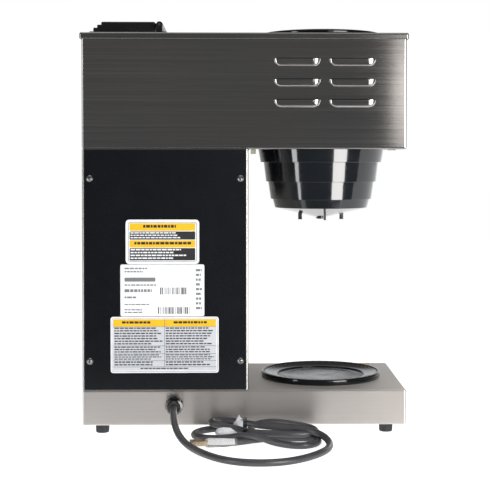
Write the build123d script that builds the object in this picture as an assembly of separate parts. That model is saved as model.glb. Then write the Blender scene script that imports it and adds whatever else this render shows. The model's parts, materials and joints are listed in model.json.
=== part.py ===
from build123d import *
import math
import os

# Commercial pour-over coffee brewer with a lower and an upper warmer, in millimetres.
# +Z is up, the front faces -Y, and X runs to the right as seen from the front.
# The origin is on the floor, midway between the funnel handle's tip and the cord gland's end.

os.makedirs("parts", exist_ok=True)

# ---------------------------------------------------------------- driving dimensions
BODY_W = 406.4  # base and head width, 16 inches
BODY_D = 210.0  # base, column and head depth
FOOT_H = 12.5
BASE_H = 44.5
COLUMN_H = 302.0
HEAD_H = 145.5  # to the top of the cap
COLUMN_W = 208.0
STATION_X = -102.5  # centre line of funnel and warmers
HANDLE_OUT = 36.0  # funnel handle, in front of the body
GLAND_OUT = 20.0  # cord gland, behind the body

SHEET = 1.2  # body sheet steel
BEND = 2.5  # outside radius of its bends
CAP_EDGE = 8.0
CAP_LIP = 2.5
CAP_HEM = 1.0  # rounding along the cap's lower edge
BASE_RIM = 34.0
COLUMN_RIM = 14.0
HEAD_RIM = 12.0
GAP = 0.3  # clearance between separate pieces
FIT = 0.1  # clearance round a screw or a stem

SIDE_X = BODY_W / 2
BACK_Y = (BODY_D + HANDLE_OUT - GLAND_OUT) / 2
FRONT_Y = BACK_Y - BODY_D
MID_Y = BACK_Y - BODY_D / 2
BASE_Z = (FOOT_H, FOOT_H + BASE_H)
COLUMN_Z = (BASE_Z[1], BASE_Z[1] + COLUMN_H)
TOP_Z = COLUMN_Z[1] + HEAD_H
HEAD_Z = (COLUMN_Z[1], TOP_Z - SHEET - GAP)
BODY_X = (-SIDE_X, SIDE_X)
BODY_Y = (FRONT_Y, BACK_Y)
COLUMN_X = (SIDE_X - COLUMN_W, SIDE_X)
COLUMN_MID = sum(COLUMN_X) / 2
UP = (0, 0, 1)
RIGHT = (1, 0, 0)
BACK = (0, 1, 0)

parts = {}


# ---------------------------------------------------------------- shape helpers
def block(x, y, z):
    """A box between a low and a high value on each axis."""
    spans = (x, y, z)
    middle = [(low + high) / 2 for low, high in spans]
    return Pos(*middle) * Box(*[high - low for low, high in spans])


def shrink(span, amount):
    """A span pulled in by the same amount at both ends."""
    return (span[0] + amount, span[1] - amount)


def around(middle, half):
    """A span of twice the half width about a middle."""
    return (middle - half, middle + half)


def rod(start, direction, radius, length):
    """A round bar from a start point."""
    return extrude(Plane(origin=start, z_dir=direction) * Circle(radius), amount=length)


def pipe(start, direction, outer, inner, length):
    """A round bar with a bore right through it."""
    return rod(start, direction, outer, length) - rod(start, direction, inner, length)


def turned(points, x, y):
    """A solid of revolution about the vertical line through x, y, from its (radius, z) outline."""
    outline = make_face(Polyline([(r, 0, z) for r, z in points], close=True))
    return Pos(x, y, 0) * revolve(outline, Axis.Z)


def upright_rounded(x, y, z, radius):
    """A box with rounded upright edges."""
    return fillet(block(x, y, z).edges().filter_by(Axis.Z), radius)


def top_rounded(x, y, z, radius):
    """A box with its upright and top edges rounded."""
    body = block(x, y, z)
    return fillet(body.edges().filter_by(Axis.Z) + body.faces().sort_by(Axis.Z)[-1].edges(), radius)


def all_rounded(x, y, z, radius):
    """A box with every edge rounded, as a folded shell is at its bends."""
    return fillet(block(x, y, z).edges(), radius)


def tube_along(points, radii, radius):
    """A round bar along straight runs joined by tangent arcs."""
    path = FilletPolyline(*points, radius=radii)
    return sweep(Plane(origin=path @ 0, z_dir=path % 0) * Circle(radius), path=path)


def group(solids):
    """Separate solids kept together in one node."""
    return Compound(children=list(solids))


# ---------------------------------------------------------------- base
FOOT_INSET = 23.0
FOOT_R = (8.4, 9.2)
FOOT_SCREW_R = 2.1
GLAND_X = 88.0
GLAND_Z = 38.4
GLAND_THREAD_R = 8.0
WARMER_HOLE_R = 55.0
WIRE_HOLE_HALF = 60.0
VENT_X = (-120.0, -60.0, 40.0, 100.0, 160.0)
VENT_HALF = (3.0, 30.0)
FOOT_PLACES = [
    (x, y)
    for x in (-SIDE_X + FOOT_INSET, SIDE_X - FOOT_INSET)
    for y in (FRONT_Y + FOOT_INSET, BACK_Y - FOOT_INSET)
]


def make_base_pan():
    """Folded pan, closed on top, with a rim turned in round its open bottom."""
    pan = all_rounded(BODY_X, BODY_Y, BASE_Z, BEND)
    hollow_z = shrink(BASE_Z, SHEET)
    pan -= all_rounded(shrink(BODY_X, SHEET), shrink(BODY_Y, SHEET), hollow_z, BEND - SHEET)
    pan -= block(shrink(BODY_X, BASE_RIM), shrink(BODY_Y, BASE_RIM), (0, hollow_z[0] + SHEET))
    pan -= rod((STATION_X, MID_Y, hollow_z[1] - SHEET), UP, WARMER_HOLE_R, 3 * SHEET)
    wire_hole = around(COLUMN_MID, WIRE_HOLE_HALF), around(MID_Y, WIRE_HOLE_HALF)
    pan -= block(*wire_hole, (hollow_z[1] - SHEET, BASE_Z[1] + SHEET))
    pan -= rod((GLAND_X, BACK_Y - 3 * SHEET, GLAND_Z), BACK, GLAND_THREAD_R + GAP, 6 * SHEET)
    for x, y in FOOT_PLACES:
        pan -= rod((x, y, 0), UP, FOOT_SCREW_R, hollow_z[0] + SHEET)
    return pan


def make_bottom_plate():
    """Plate that closes the pan, resting on its rim."""
    low = BASE_Z[0] + SHEET
    plate = upright_rounded(
        shrink(BODY_X, BEND + GAP), shrink(BODY_Y, BEND + GAP), (low, low + SHEET), BEND
    )
    for x, y in FOOT_PLACES:
        plate -= rod((x, y, 0), UP, FOOT_SCREW_R, low + 2 * SHEET)
    for x in VENT_X:
        plate -= block(around(x, VENT_HALF[0]), around(MID_Y, VENT_HALF[1]), (low - SHEET, low + 2 * SHEET))
    return plate


def make_feet():
    """Four tapered rubber feet, each with a sunk screw hole."""
    sink_r, sink_h, edge = 4.6, 6.0, 0.8
    outline = [
        (sink_r, 0), (FOOT_R[0] - edge, 0), (FOOT_R[0], edge), (FOOT_R[1], FOOT_H),
        (FOOT_SCREW_R, FOOT_H), (FOOT_SCREW_R, sink_h), (sink_r, sink_h),
    ]
    return group(turned(outline, x, y) for x, y in FOOT_PLACES)


def make_foot_screws():
    """Screw and nut through each foot, the rim and the bottom plate."""
    head_z, head_h, head_r, shank_r = 3.2, 2.8, 3.9, 2.0
    nut_z, nut_r, nut_h, spare_l = BASE_Z[0] + 2 * SHEET, 3.9, 2.6, 4.0
    screws = []
    for x, y in FOOT_PLACES:
        screw = rod((x, y, head_z), UP, head_r, head_h)
        screw += rod((x, y, head_z), UP, shank_r, nut_z - head_z + spare_l)
        screws.append(screw + extrude(Plane((x, y, nut_z)) * RegularPolygon(nut_r, 6), amount=nut_h))
    return group(screws)


parts["base_pan"] = make_base_pan()
parts["bottom_plate"] = make_bottom_plate()
parts["rubber_feet"] = make_feet()
parts["foot_screws"] = make_foot_screws()

# ---------------------------------------------------------------- column and back cover
COVER_EDGE = 2.7  # strip of the wrap left showing each side of the cover
COVER_SCREW_R = 2.0
COVER_SCREW_INSET = (7.2, 36.0)  # from the cover's side and end
COVER_X = shrink(COLUMN_X, COVER_EDGE)
COVER_Z = shrink(COLUMN_Z, 2 * GAP)
COVER_ROUND = 0.7
COVER_FACE_Y = BACK_Y + SHEET
COVER_SCREWS = [
    (x, z)
    for x in shrink(COVER_X, COVER_SCREW_INSET[0])
    for z in shrink(COVER_Z, COVER_SCREW_INSET[1])
]


def make_column_wrap():
    """Wrap open at the back, with rims turned in at the back, top and bottom."""
    inside = (shrink(COLUMN_X, SHEET), shrink(BODY_Y, SHEET), shrink(COLUMN_Z, SHEET))
    wrap = upright_rounded(COLUMN_X, BODY_Y, COLUMN_Z, BEND)
    wrap -= upright_rounded(*inside, BEND - SHEET)
    wrap -= block(shrink(COLUMN_X, COLUMN_RIM), shrink(BODY_Y, COLUMN_RIM), (0, TOP_Z))
    wrap -= block(
        shrink(COLUMN_X, COLUMN_RIM), (BACK_Y - 2 * SHEET, BACK_Y + SHEET), shrink(COLUMN_Z, SHEET)
    )
    for x, z in COVER_SCREWS:
        wrap -= rod((x, BACK_Y - 3 * SHEET, z), BACK, COVER_SCREW_R, 6 * SHEET)
    return wrap


def make_back_cover():
    """Flat service cover over the back of the column."""
    cover = block(COVER_X, (BACK_Y, COVER_FACE_Y), COVER_Z)
    cover = fillet(cover.faces().sort_by(Axis.Y)[-1].edges(), COVER_ROUND)
    for x, z in COVER_SCREWS:
        cover -= rod((x, BACK_Y - SHEET, z), BACK, COVER_SCREW_R, 4 * SHEET)
    return cover


def make_cover_screws():
    """Domed screws with a cross recess, holding the back cover."""
    head_r, dome_r, dome_h, shank_l, slot_w, slot_l, slot_d = 4.6, 5.2, 3.0, 7.0, 1.1, 5.0, 1.6
    tip = COVER_FACE_Y + dome_h
    screws = []
    for x, z in COVER_SCREWS:
        head = Pos(x, tip - dome_r, z) * Sphere(dome_r) & rod((x, COVER_FACE_Y, z), BACK, head_r, dome_r)
        for wide, high in ((slot_w, slot_l), (slot_l, slot_w)):
            head -= block(around(x, wide / 2), (tip - slot_d, tip + slot_d), around(z, high / 2))
        screws.append(head + rod((x, COVER_FACE_Y - shank_l, z), BACK, COVER_SCREW_R, shank_l))
    return group(screws)


parts["column_wrap"] = make_column_wrap()
parts["back_cover"] = make_back_cover()
parts["cover_screws"] = make_cover_screws()

# ---------------------------------------------------------------- head shell and cap
LOUVER_W = 58.4
LOUVER_H = 9.8
LOUVER_OUT = 4.5
LOUVER_WALL = 1.1
LOUVER_X = (-65.7, -135.0)
LOUVER_Z = (471.9, 446.2, 420.6)  # upper, open edge of each hood
MOUTH_HALF = 94.0  # front notch that the funnel's flange slides through
MOUTH_H = 11.0
SWITCH_X = (82.0, 114.0, 146.0)
SWITCH_Z = 426.0
SWITCH_BODY = (15.0, 31.0)  # width and height of each switch's hole
POUR_X = (118.0, 182.0)
POUR_HALF_Y = 52.0


def louver_bulb(height, depth):
    """Long ball-ended bulb lying along X, its centre on the hood's upper edge."""
    half = LOUVER_W / 2 - LOUVER_H
    bulb = rod((-half, 0, 0), RIGHT, height, 2 * half)
    for x in (-half, half):
        bulb += Pos(x, 0, 0) * Sphere(height)
    return scale(bulb, by=(1, depth / height, 1))


def make_head_shell():
    """Four-sided shell with louvers in its back, a rim turned in below and a notch for the funnel."""
    above = 2 * BEND  # both boxes reach past the shell's open top
    shell = all_rounded(BODY_X, BODY_Y, (HEAD_Z[0], HEAD_Z[1] + above), BEND)
    inside = (shrink(BODY_X, SHEET), shrink(BODY_Y, SHEET), (HEAD_Z[0] + SHEET, HEAD_Z[1] + 2 * above))
    shell -= all_rounded(*inside, BEND - SHEET)
    shell -= block(shrink(BODY_X, -BEND), shrink(BODY_Y, -BEND), (HEAD_Z[1], HEAD_Z[1] + 3 * above))
    shell -= block(shrink(BODY_X, HEAD_RIM), shrink(BODY_Y, HEAD_RIM), (0, TOP_Z))
    shell -= block(
        around(STATION_X, MOUTH_HALF), (FRONT_Y - SHEET, MID_Y), (HEAD_Z[0] - SHEET, HEAD_Z[0] + MOUTH_H)
    )
    outer = louver_bulb(LOUVER_H, LOUVER_OUT) & block((-BODY_W, BODY_W), (-SHEET / 2, BODY_D), (-BODY_D, 0))
    inner = louver_bulb(LOUVER_H - LOUVER_WALL, LOUVER_OUT - LOUVER_WALL)
    slot = inner & block((-BODY_W, BODY_W), (-BODY_D, BODY_D), (-BODY_D, SHEET))
    for x in LOUVER_X:
        for z in LOUVER_Z:
            place = Pos(x, BACK_Y, z)
            shell += place * outer
            shell -= place * slot
    for x in SWITCH_X:
        shell -= block(
            around(x, SWITCH_BODY[0] / 2), (FRONT_Y - SHEET, FRONT_Y + 3 * SHEET),
            around(SWITCH_Z, SWITCH_BODY[1] / 2),
        )
    return shell


def make_top_cap():
    """Lid over the head with a turned-down edge, a warmer hole and a pour-in hole."""
    wide_x, wide_y = shrink(BODY_X, -CAP_LIP), shrink(BODY_Y, -CAP_LIP)
    cap = top_rounded(wide_x, wide_y, (TOP_Z - CAP_EDGE, TOP_Z), BEND)
    cap = fillet(cap.faces().sort_by(Axis.Z)[0].edges(), CAP_HEM)
    cap -= upright_rounded(shrink(wide_x, SHEET), shrink(wide_y, SHEET), (0, TOP_Z - SHEET), BEND - SHEET)
    cap -= rod((STATION_X, MID_Y, TOP_Z - CAP_EDGE), UP, WARMER_HOLE_R, 2 * CAP_EDGE)
    cap -= block(POUR_X, around(MID_Y, POUR_HALF_Y), (TOP_Z - CAP_EDGE, TOP_Z + CAP_EDGE))
    return cap


parts["head_shell"] = make_head_shell()
parts["top_cap"] = make_top_cap()

# ---------------------------------------------------------------- head floor, rails and sprayhead
FLOOR_Z = COLUMN_Z[1] + 12.5  # underside of the head floor
FLOOR_END_X = 8.0
FLOOR_TURN_UP = 14.0
RAIL_OUT = 91.6  # web of each rail, from the funnel's centre
RAIL_LIP = 6.0
RAIL_Z = COLUMN_Z[1] + SHEET + 0.2
STOP_Y = (BACK_Y - HEAD_RIM - 6.5, BACK_Y - HEAD_RIM - 0.5)
RAIL_Y = (FRONT_Y + 2 * SHEET, STOP_Y[0] - GAP)
RAIL_FLANGE = 7.0
RAIL_SCREW_R = 1.5
SPRAY_R = 26.0
SPRAY_H = 4.5
SPRAY_EDGE = 2.0
SPRAY_WALL = 1.2
SPRAY_STEM = (7.5, 5.0, 16.0)  # outer radius, bore radius and height above the floor
SPRAY_RINGS = ((9.0, 6), (19.0, 12))  # radius of each ring of holes and how many
SPRAY_HOLE_R = 1.2
RAIL_SCREWS = [
    (STATION_X + side * (RAIL_OUT + (SHEET + RAIL_FLANGE) / 2), y)
    for side in (-1, 1)
    for y in shrink(RAIL_Y, 25)
]


def make_head_floor():
    """Tray over the funnel, with an upturned edge on the column side."""
    x = (-SIDE_X + SHEET + GAP, FLOOR_END_X)
    y = shrink(BODY_Y, SHEET + GAP)
    tray = upright_rounded(x, y, (FLOOR_Z, FLOOR_Z + SHEET), BEND)
    tray += block((x[1] - SHEET, x[1]), shrink(y, BEND), (FLOOR_Z, FLOOR_Z + FLOOR_TURN_UP))
    tray -= rod((STATION_X, MID_Y, FLOOR_Z - SHEET), UP, SPRAY_STEM[0] + FIT, 3 * SHEET)
    for x_at, y_at in RAIL_SCREWS:
        tray -= rod((x_at, y_at, FLOOR_Z - SHEET), UP, RAIL_SCREW_R + FIT, 3 * SHEET)
    return tray


def make_rail(side):
    """Z-shaped rail: flange under the floor, upright web, lip that carries the funnel."""
    def span(near, far):
        return tuple(sorted((STATION_X + side * near, STATION_X + side * far)))

    rail = block(span(RAIL_OUT, RAIL_OUT + SHEET), RAIL_Y, (RAIL_Z, FLOOR_Z))
    rail += block(span(RAIL_OUT - RAIL_LIP, RAIL_OUT), RAIL_Y, (RAIL_Z, RAIL_Z + SHEET))
    rail += block(span(RAIL_OUT, RAIL_OUT + RAIL_FLANGE), RAIL_Y, (FLOOR_Z - SHEET, FLOOR_Z))
    for x, y in RAIL_SCREWS:
        rail -= rod((x, y, FLOOR_Z - 2 * SHEET), UP, RAIL_SCREW_R + FIT, 3 * SHEET)
    return rail


def make_rail_screws():
    """Short screws that hold the rails to the floor."""
    head_r, head_h = 2.6, 2.0
    low = FLOOR_Z - SHEET - head_h
    return group(
        rod((x, y, low), UP, head_r, head_h) + rod((x, y, low), UP, RAIL_SCREW_R, 2 * SHEET + 2 * head_h)
        for x, y in RAIL_SCREWS
    )


def make_funnel_stops():
    """A catch block at the back of the column-side rail and a tab at the back of the other."""
    catch_x = (STATION_X + RAIL_OUT - 3.5, STATION_X + RAIL_OUT + 3.0)
    tab_x = (STATION_X - RAIL_OUT + 3.4, STATION_X - RAIL_OUT + 12.0)
    drops = {catch_x: 6.0, tab_x: 1.4}  # how far each hangs below the head
    return group(block(x, STOP_Y, (COLUMN_Z[1] - drop, FLOOR_Z)) for x, drop in drops.items())


def make_sprayhead():
    """Round sprayhead with a hollow stem up through the floor and drilled spray holes."""
    stem_r, bore_r, stem_h = SPRAY_STEM
    low = FLOOR_Z - SPRAY_H
    head = turned([
        (0, low), (SPRAY_R - SPRAY_EDGE, low), (SPRAY_R, low + SPRAY_EDGE), (SPRAY_R, FLOOR_Z), (0, FLOOR_Z),
    ], STATION_X, MID_Y)
    head += rod((STATION_X, MID_Y, FLOOR_Z), UP, stem_r, stem_h)
    head -= rod((STATION_X, MID_Y, low + SPRAY_WALL), UP, bore_r, 2 * stem_h)
    head -= rod((STATION_X, MID_Y, low + SPRAY_WALL), UP, SPRAY_R - SPRAY_EDGE, SPRAY_H - 2 * SPRAY_WALL)
    for ring_r, count in SPRAY_RINGS:
        for i in range(count):
            turn = 2 * math.pi * i / count
            spot = (STATION_X + ring_r * math.cos(turn), MID_Y + ring_r * math.sin(turn), low - SPRAY_WALL)
            head -= rod(spot, UP, SPRAY_HOLE_R, 3 * SPRAY_WALL)
    return head


def make_spray_nut():
    """Hexagon nut that clamps the sprayhead's stem on top of the floor."""
    nut_r, nut_h = 13.0, 5.0
    low = FLOOR_Z + SHEET
    nut = extrude(Plane((STATION_X, MID_Y, low)) * RegularPolygon(nut_r, 6), amount=nut_h)
    return nut - rod((STATION_X, MID_Y, low), UP, SPRAY_STEM[0] + FIT / 2, nut_h)


parts["head_floor"] = make_head_floor()
parts["rail_left"] = make_rail(-1)
parts["rail_right"] = make_rail(1)
parts["rail_screws"] = make_rail_screws()
parts["funnel_stops"] = make_funnel_stops()
parts["sprayhead"] = make_sprayhead()
parts["spray_nut"] = make_spray_nut()

# ---------------------------------------------------------------- warmers
RING_R = 79.0
RING_H = 7.6
PLATE_R = 60.0
PLATE_T = 1.8
RING_OUTLINE = [  # radius, height above the sheet
    (RING_R, 0), (RING_R, RING_H - 1.2), (RING_R - 1.4, RING_H), (RING_R - 3.4, RING_H),
    (RING_R - 5, RING_H - 1), (PLATE_R + 0.5, PLATE_T + 1.6), (PLATE_R - 3, PLATE_T + 1.2),
    (PLATE_R - 3, PLATE_T), (PLATE_R + 0.4, PLATE_T), (PLATE_R + 0.4, 0),
]
DISH = 0.6  # depth of the plate's dish
PLATE_OUTLINE = [  # radius, height above the sheet
    (0, -DISH), (44, -DISH), (48, 0), (PLATE_R, 0), (PLATE_R, PLATE_T), (47, PLATE_T),
    (43, PLATE_T - DISH), (0, PLATE_T - DISH),
]
ELEMENT_R = 42.0
ELEMENT_T = 5.0
TAB_X = (34.0, 50.0)  # each terminal tab, from the heater's centre
TAB_Y = 7.0
TAB_W = 6.0
TAB_T = 0.9
CLAMP_W = 18.0
CLAMP_T = 1.5
CLAMP_REACH = WARMER_HOLE_R + 10


def make_warmer_ring(top):
    """Retaining ring: upright outer wall, narrow rim, then a slope down to the plate's edge."""
    return turned([(r, top + z) for r, z in RING_OUTLINE], STATION_X, MID_Y)


def make_warmer_plate(top):
    """Slightly dished round plate that the decanter stands on."""
    return turned([(r, top + z) for r, z in PLATE_OUTLINE], STATION_X, MID_Y)


def make_warmer_element(top):
    """Flat round heater under the plate, with two tab terminals."""
    under = top - DISH - ELEMENT_T
    element = rod((STATION_X, MID_Y, under), UP, ELEMENT_R, ELEMENT_T)
    x = tuple(STATION_X + out for out in TAB_X)
    for y in around(MID_Y, TAB_Y):
        element += block(x, around(y, TAB_W / 2), (under, under + TAB_T))
    return element


def make_warmer_bracket(top):
    """Spring bar that clamps the heater against the plate, hooked on the sheet's edge."""
    under = top - DISH - ELEMENT_T
    x = around(STATION_X, CLAMP_W / 2)
    near, far = around(MID_Y, CLAMP_REACH)
    bar = block(x, (near, far), (under - CLAMP_T, under))
    for y in ((near, near + CLAMP_T), (far - CLAMP_T, far)):
        bar += block(x, y, (under, top - SHEET))
    return bar


WARMER_TOPS = {"lower": BASE_Z[1], "upper": TOP_Z}
for level, top in WARMER_TOPS.items():
    parts[f"{level}_warmer_ring"] = make_warmer_ring(top)
    parts[f"{level}_warmer_plate"] = make_warmer_plate(top)
parts["warmer_elements"] = group(make_warmer_element(top) for top in WARMER_TOPS.values())
parts["warmer_brackets"] = group(make_warmer_bracket(top) for top in WARMER_TOPS.values())

# ---------------------------------------------------------------- funnel
FUNNEL_WALL = 2.5
FLANGE_Z = RAIL_Z + SHEET + GAP
FLANGE_R = 88.8
FLANGE_T = 3.0
TIERS = [  # outer radius at top and bottom of each tier, and the z of its bottom
    (84.3, 80.4, 342.5), (76.3, 73.2, 316.9), (70.4, 67.1, 294.0), (64.5, 61.4, 282.5),
]
APEX_Z = 268.0
GRIP_W = 30.0
GRIP_TOP = COLUMN_Z[1] - 4
GRIP_ROUND = 2.5
GRIP_ROUND_IN = 8.0  # how far behind the head's front the grip is still rounded
GRIP_OUTLINE = [  # out from the head's front, down from the grip's top
    (-35, 0), (2, 0), (12, 4), (HANDLE_OUT - 6, 3), (HANDLE_OUT, 8), (HANDLE_OUT - 1, 15),
    (HANDLE_OUT - 8, 19), (10, 18), (0, 26), (-35, 26),
]
DRIP_R = 3.2
DRIP_WALL = 2.0
LEG_R = 28.0
LEG_Z = (266.3, APEX_Z + 10)
LEG_SIZE = (5.0, 2.4)
LEG_TURN = 7.0


def funnel_body(inset):
    """The stepped cup as a solid, pulled in by a wall thickness."""
    points = [(0, FLANGE_Z + FLANGE_T), (TIERS[0][0] - inset, FLANGE_Z + FLANGE_T)]
    for top_r, low_r, low_z in TIERS:
        points += [(top_r - inset, points[-1][1]), (low_r - inset, low_z + inset)]
    points.append((0, APEX_Z + inset))
    return turned([points[0]] + points[2:], STATION_X, MID_Y)


def make_funnel():
    """Stepped brew funnel with a flange, a drip hole and four short legs."""
    cup = funnel_body(0) + rod((STATION_X, MID_Y, FLANGE_Z), UP, FLANGE_R, FLANGE_T)
    cone_drop = (TIERS[-1][2] - APEX_Z) / TIERS[-1][1]
    for i in range(4):
        turn = math.radians(LEG_TURN + 90 * i)
        x, y = STATION_X + LEG_R * math.cos(turn), MID_Y + LEG_R * math.sin(turn)
        fin = Pos(x, y, sum(LEG_Z) / 2) * Rot(0, 0, math.degrees(turn))
        cup += fin * Box(*LEG_SIZE, LEG_Z[1] - LEG_Z[0])
    spout = (STATION_X, MID_Y, APEX_Z - DRIP_WALL / 2)
    cup += pipe(spout, UP, DRIP_R + DRIP_WALL, DRIP_R, 2 * DRIP_WALL + DRIP_R * cone_drop)
    cup -= funnel_body(FUNNEL_WALL)
    return cup - rod((STATION_X, MID_Y, 0), UP, DRIP_R, LEG_Z[1])


def make_funnel_handle():
    """Grip that reaches forward from the funnel's front, thumb rest on top."""
    side = make_face(Polyline([
        (STATION_X - GRIP_W / 2, FRONT_Y - out, GRIP_TOP - drop) for out, drop in GRIP_OUTLINE
    ], close=True))
    grip = extrude(side, amount=GRIP_W, dir=RIGHT)
    outside = [edge for edge in grip.edges() if edge.center().Y < FRONT_Y + GRIP_ROUND_IN]
    return fillet(outside, GRIP_ROUND) - funnel_body(0)


def make_wire_basket():
    """Wire rack that holds the paper filter off the funnel's wall."""
    hoop_wire, rib_wire, ribs = 1.3, 0.9, 12
    rings = ((76.0, 361.0), (66.5, 325.0), (58.0, 292.0), (22.0, 286.0))  # radius and z of each hoop
    pieces = [Pos(STATION_X, MID_Y, z) * Torus(r, hoop_wire) for r, z in rings]
    for i in range(ribs):
        turn = 2 * math.pi * (i + 0.5) / ribs
        spots = [(STATION_X + r * math.cos(turn), MID_Y + r * math.sin(turn), z) for r, z in rings]
        for start, end in zip(spots, spots[1:]):
            way = Vector(*end) - Vector(*start)
            pieces.append(rod(start, way, rib_wire, way.length))
    return pieces[0].fuse(*pieces[1:])


parts["funnel"] = make_funnel()
parts["funnel_handle"] = make_funnel_handle()
parts["wire_basket"] = make_wire_basket()

# ---------------------------------------------------------------- pour-in lid, frame and basin
FRAME_X = (99.0, 198.0)
FRAME_HALF_Y = 66.0
FRAME_H = 5.0
FRAME_SKIRT = 10.0
LID_X = (114.2, 183.5)
LID_HALF_Y = 58.0
LID_Z = (TOP_Z + FRAME_H + 0.8, TOP_Z + 18.2)
LID_WALL = 2.4
LID_ROUND = 2.0
LID_STEPS = ((188.6, TOP_Z + 14.4), (193.6, TOP_Z + 10.6))  # far x and top z of each finger step
STEP_LAP = 6.0  # how far each step runs in under the lid
STEP_ROUND = 1.4
HINGE_X = 108.4
HINGE_Z = TOP_Z + 14.2
BARREL_R = 4.2
BARREL_INSET = 2.0  # the barrel's ends, from the lid's
ARM_HALF_T = 2.2
PIN_R = 1.6
LUG_R = 3.8
LUG_T = 6.0
SKIRT_T = 2.3
FRAME_ROUND = 1.5
BASIN_DEPTH = 44.0
BASIN_MOUTH = (76.0, 116.0)
BASIN_FLOOR = (56.0, 80.0)
BASIN_ROUND = 8.0
BASIN_WALL = 1.6
BASIN_TOP_Z = TOP_Z - FRAME_SKIRT - 0.2
BASIN_LOW_Z = TOP_Z - FRAME_SKIRT - BASIN_DEPTH
BASIN_FLANGE_Y = POUR_HALF_Y + 14
OUTLET_R = (12.0, 10.0)
OUTLET_H = 10.0
SCREEN_HALF = (24.0, 34.0)
SCREEN_T = 1.0
SCREEN_PITCH = 9.0
SCREEN_HOLES = (5, 7)
SCREEN_HOLE_R = 2.6
FILL_X = 150.0
LUG_Y = FRAME_HALF_Y - LUG_T


def make_pour_in_frame():
    """Bezel round the pour-in hole, with a skirt through the cap and two hinge lugs."""
    frame = top_rounded(FRAME_X, around(MID_Y, FRAME_HALF_Y), (TOP_Z, TOP_Z + FRAME_H), FRAME_ROUND)
    frame += block(shrink(POUR_X, GAP), around(MID_Y, POUR_HALF_Y - GAP), (TOP_Z - FRAME_SKIRT, TOP_Z))
    well = GAP + SKIRT_T
    frame -= block(shrink(POUR_X, well), around(MID_Y, POUR_HALF_Y - well), (0, 2 * TOP_Z))
    for side in (-1, 1):
        y = tuple(sorted((MID_Y + side * LUG_Y, MID_Y + side * FRAME_HALF_Y)))
        frame += block(around(HINGE_X, LUG_R), y, (TOP_Z + FRAME_H / 2, HINGE_Z))
        frame += rod((HINGE_X, y[0], HINGE_Z), BACK, LUG_R, LUG_T)
    return frame - make_lid_pin()


def make_pour_in_lid():
    """Hollow flip-up lid with a hinge barrel at one end and two finger steps at the other."""
    y = around(MID_Y, LID_HALF_Y)
    lid = top_rounded(LID_X, y, LID_Z, LID_ROUND)
    for far_x, top_z in LID_STEPS:
        lid += top_rounded((LID_X[1] - STEP_LAP, far_x), y, (LID_Z[0], top_z), STEP_ROUND)
    lid -= block(shrink(LID_X, LID_WALL), shrink(y, LID_WALL), (TOP_Z, LID_Z[1] - LID_WALL))
    barrel_y = shrink(y, BARREL_INSET)
    lid += block((HINGE_X, LID_X[0] + LID_WALL / 2), barrel_y, around(HINGE_Z, ARM_HALF_T))
    lid += rod((HINGE_X, barrel_y[0], HINGE_Z), BACK, BARREL_R, barrel_y[1] - barrel_y[0])
    return lid - rod((HINGE_X, y[0], HINGE_Z), BACK, PIN_R + FIT / 2, 2 * LID_HALF_Y)


def make_lid_pin():
    """Steel pin through the lugs and the lid's barrel."""
    return rod((HINGE_X, MID_Y - FRAME_HALF_Y, HINGE_Z), BACK, PIN_R, 2 * FRAME_HALF_Y)


def basin_shape(inset, lift):
    """The basin's tapered body, pulled in all round and from below by an inset."""
    mouth_w, floor_w = [[side - 2 * inset for side in sides] for sides in (BASIN_MOUTH, BASIN_FLOOR)]
    mouth = Plane((FILL_X, MID_Y, BASIN_TOP_Z + lift)) * RectangleRounded(*mouth_w, BASIN_ROUND)
    floor = Plane((FILL_X, MID_Y, BASIN_LOW_Z + inset)) * RectangleRounded(*floor_w, BASIN_ROUND)
    return loft([floor, mouth])


def make_basin():
    """Tapered pour-in basin hung below the cap, with a round outlet."""
    outer_r, bore_r = OUTLET_R
    basin = basin_shape(0, 0)
    basin += rod((FILL_X, MID_Y, BASIN_LOW_Z - OUTLET_H), UP, outer_r, OUTLET_H + BASIN_WALL)
    flange_x = around(FILL_X, BASIN_MOUTH[0] / 2)
    basin += block(flange_x, around(MID_Y, BASIN_FLANGE_Y), (BASIN_TOP_Z - BASIN_WALL, BASIN_TOP_Z))
    basin -= basin_shape(BASIN_WALL, FIT / 10)
    return basin - rod((FILL_X, MID_Y, BASIN_LOW_Z - 2 * OUTLET_H), UP, bore_r, 3 * OUTLET_H)


def make_fill_screen():
    """Perforated plate on the basin's floor."""
    z = BASIN_LOW_Z + BASIN_WALL + 2 * GAP
    half_x, half_y = SCREEN_HALF
    screen = block(around(FILL_X, half_x), around(MID_Y, half_y), (z, z + SCREEN_T))
    columns, rows = SCREEN_HOLES
    for i in range(columns):
        for j in range(rows):
            x = FILL_X + SCREEN_PITCH * (i - columns // 2)
            y = MID_Y + SCREEN_PITCH * (j - rows // 2)
            screen -= rod((x, y, z - SCREEN_T), UP, SCREEN_HOLE_R, 3 * SCREEN_T)
    return screen


parts["pour_in_frame"] = make_pour_in_frame()
parts["pour_in_lid"] = make_pour_in_lid()
parts["lid_hinge_pin"] = make_lid_pin()
parts["pour_in_basin"] = make_basin()
parts["fill_screen"] = make_fill_screen()

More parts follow.
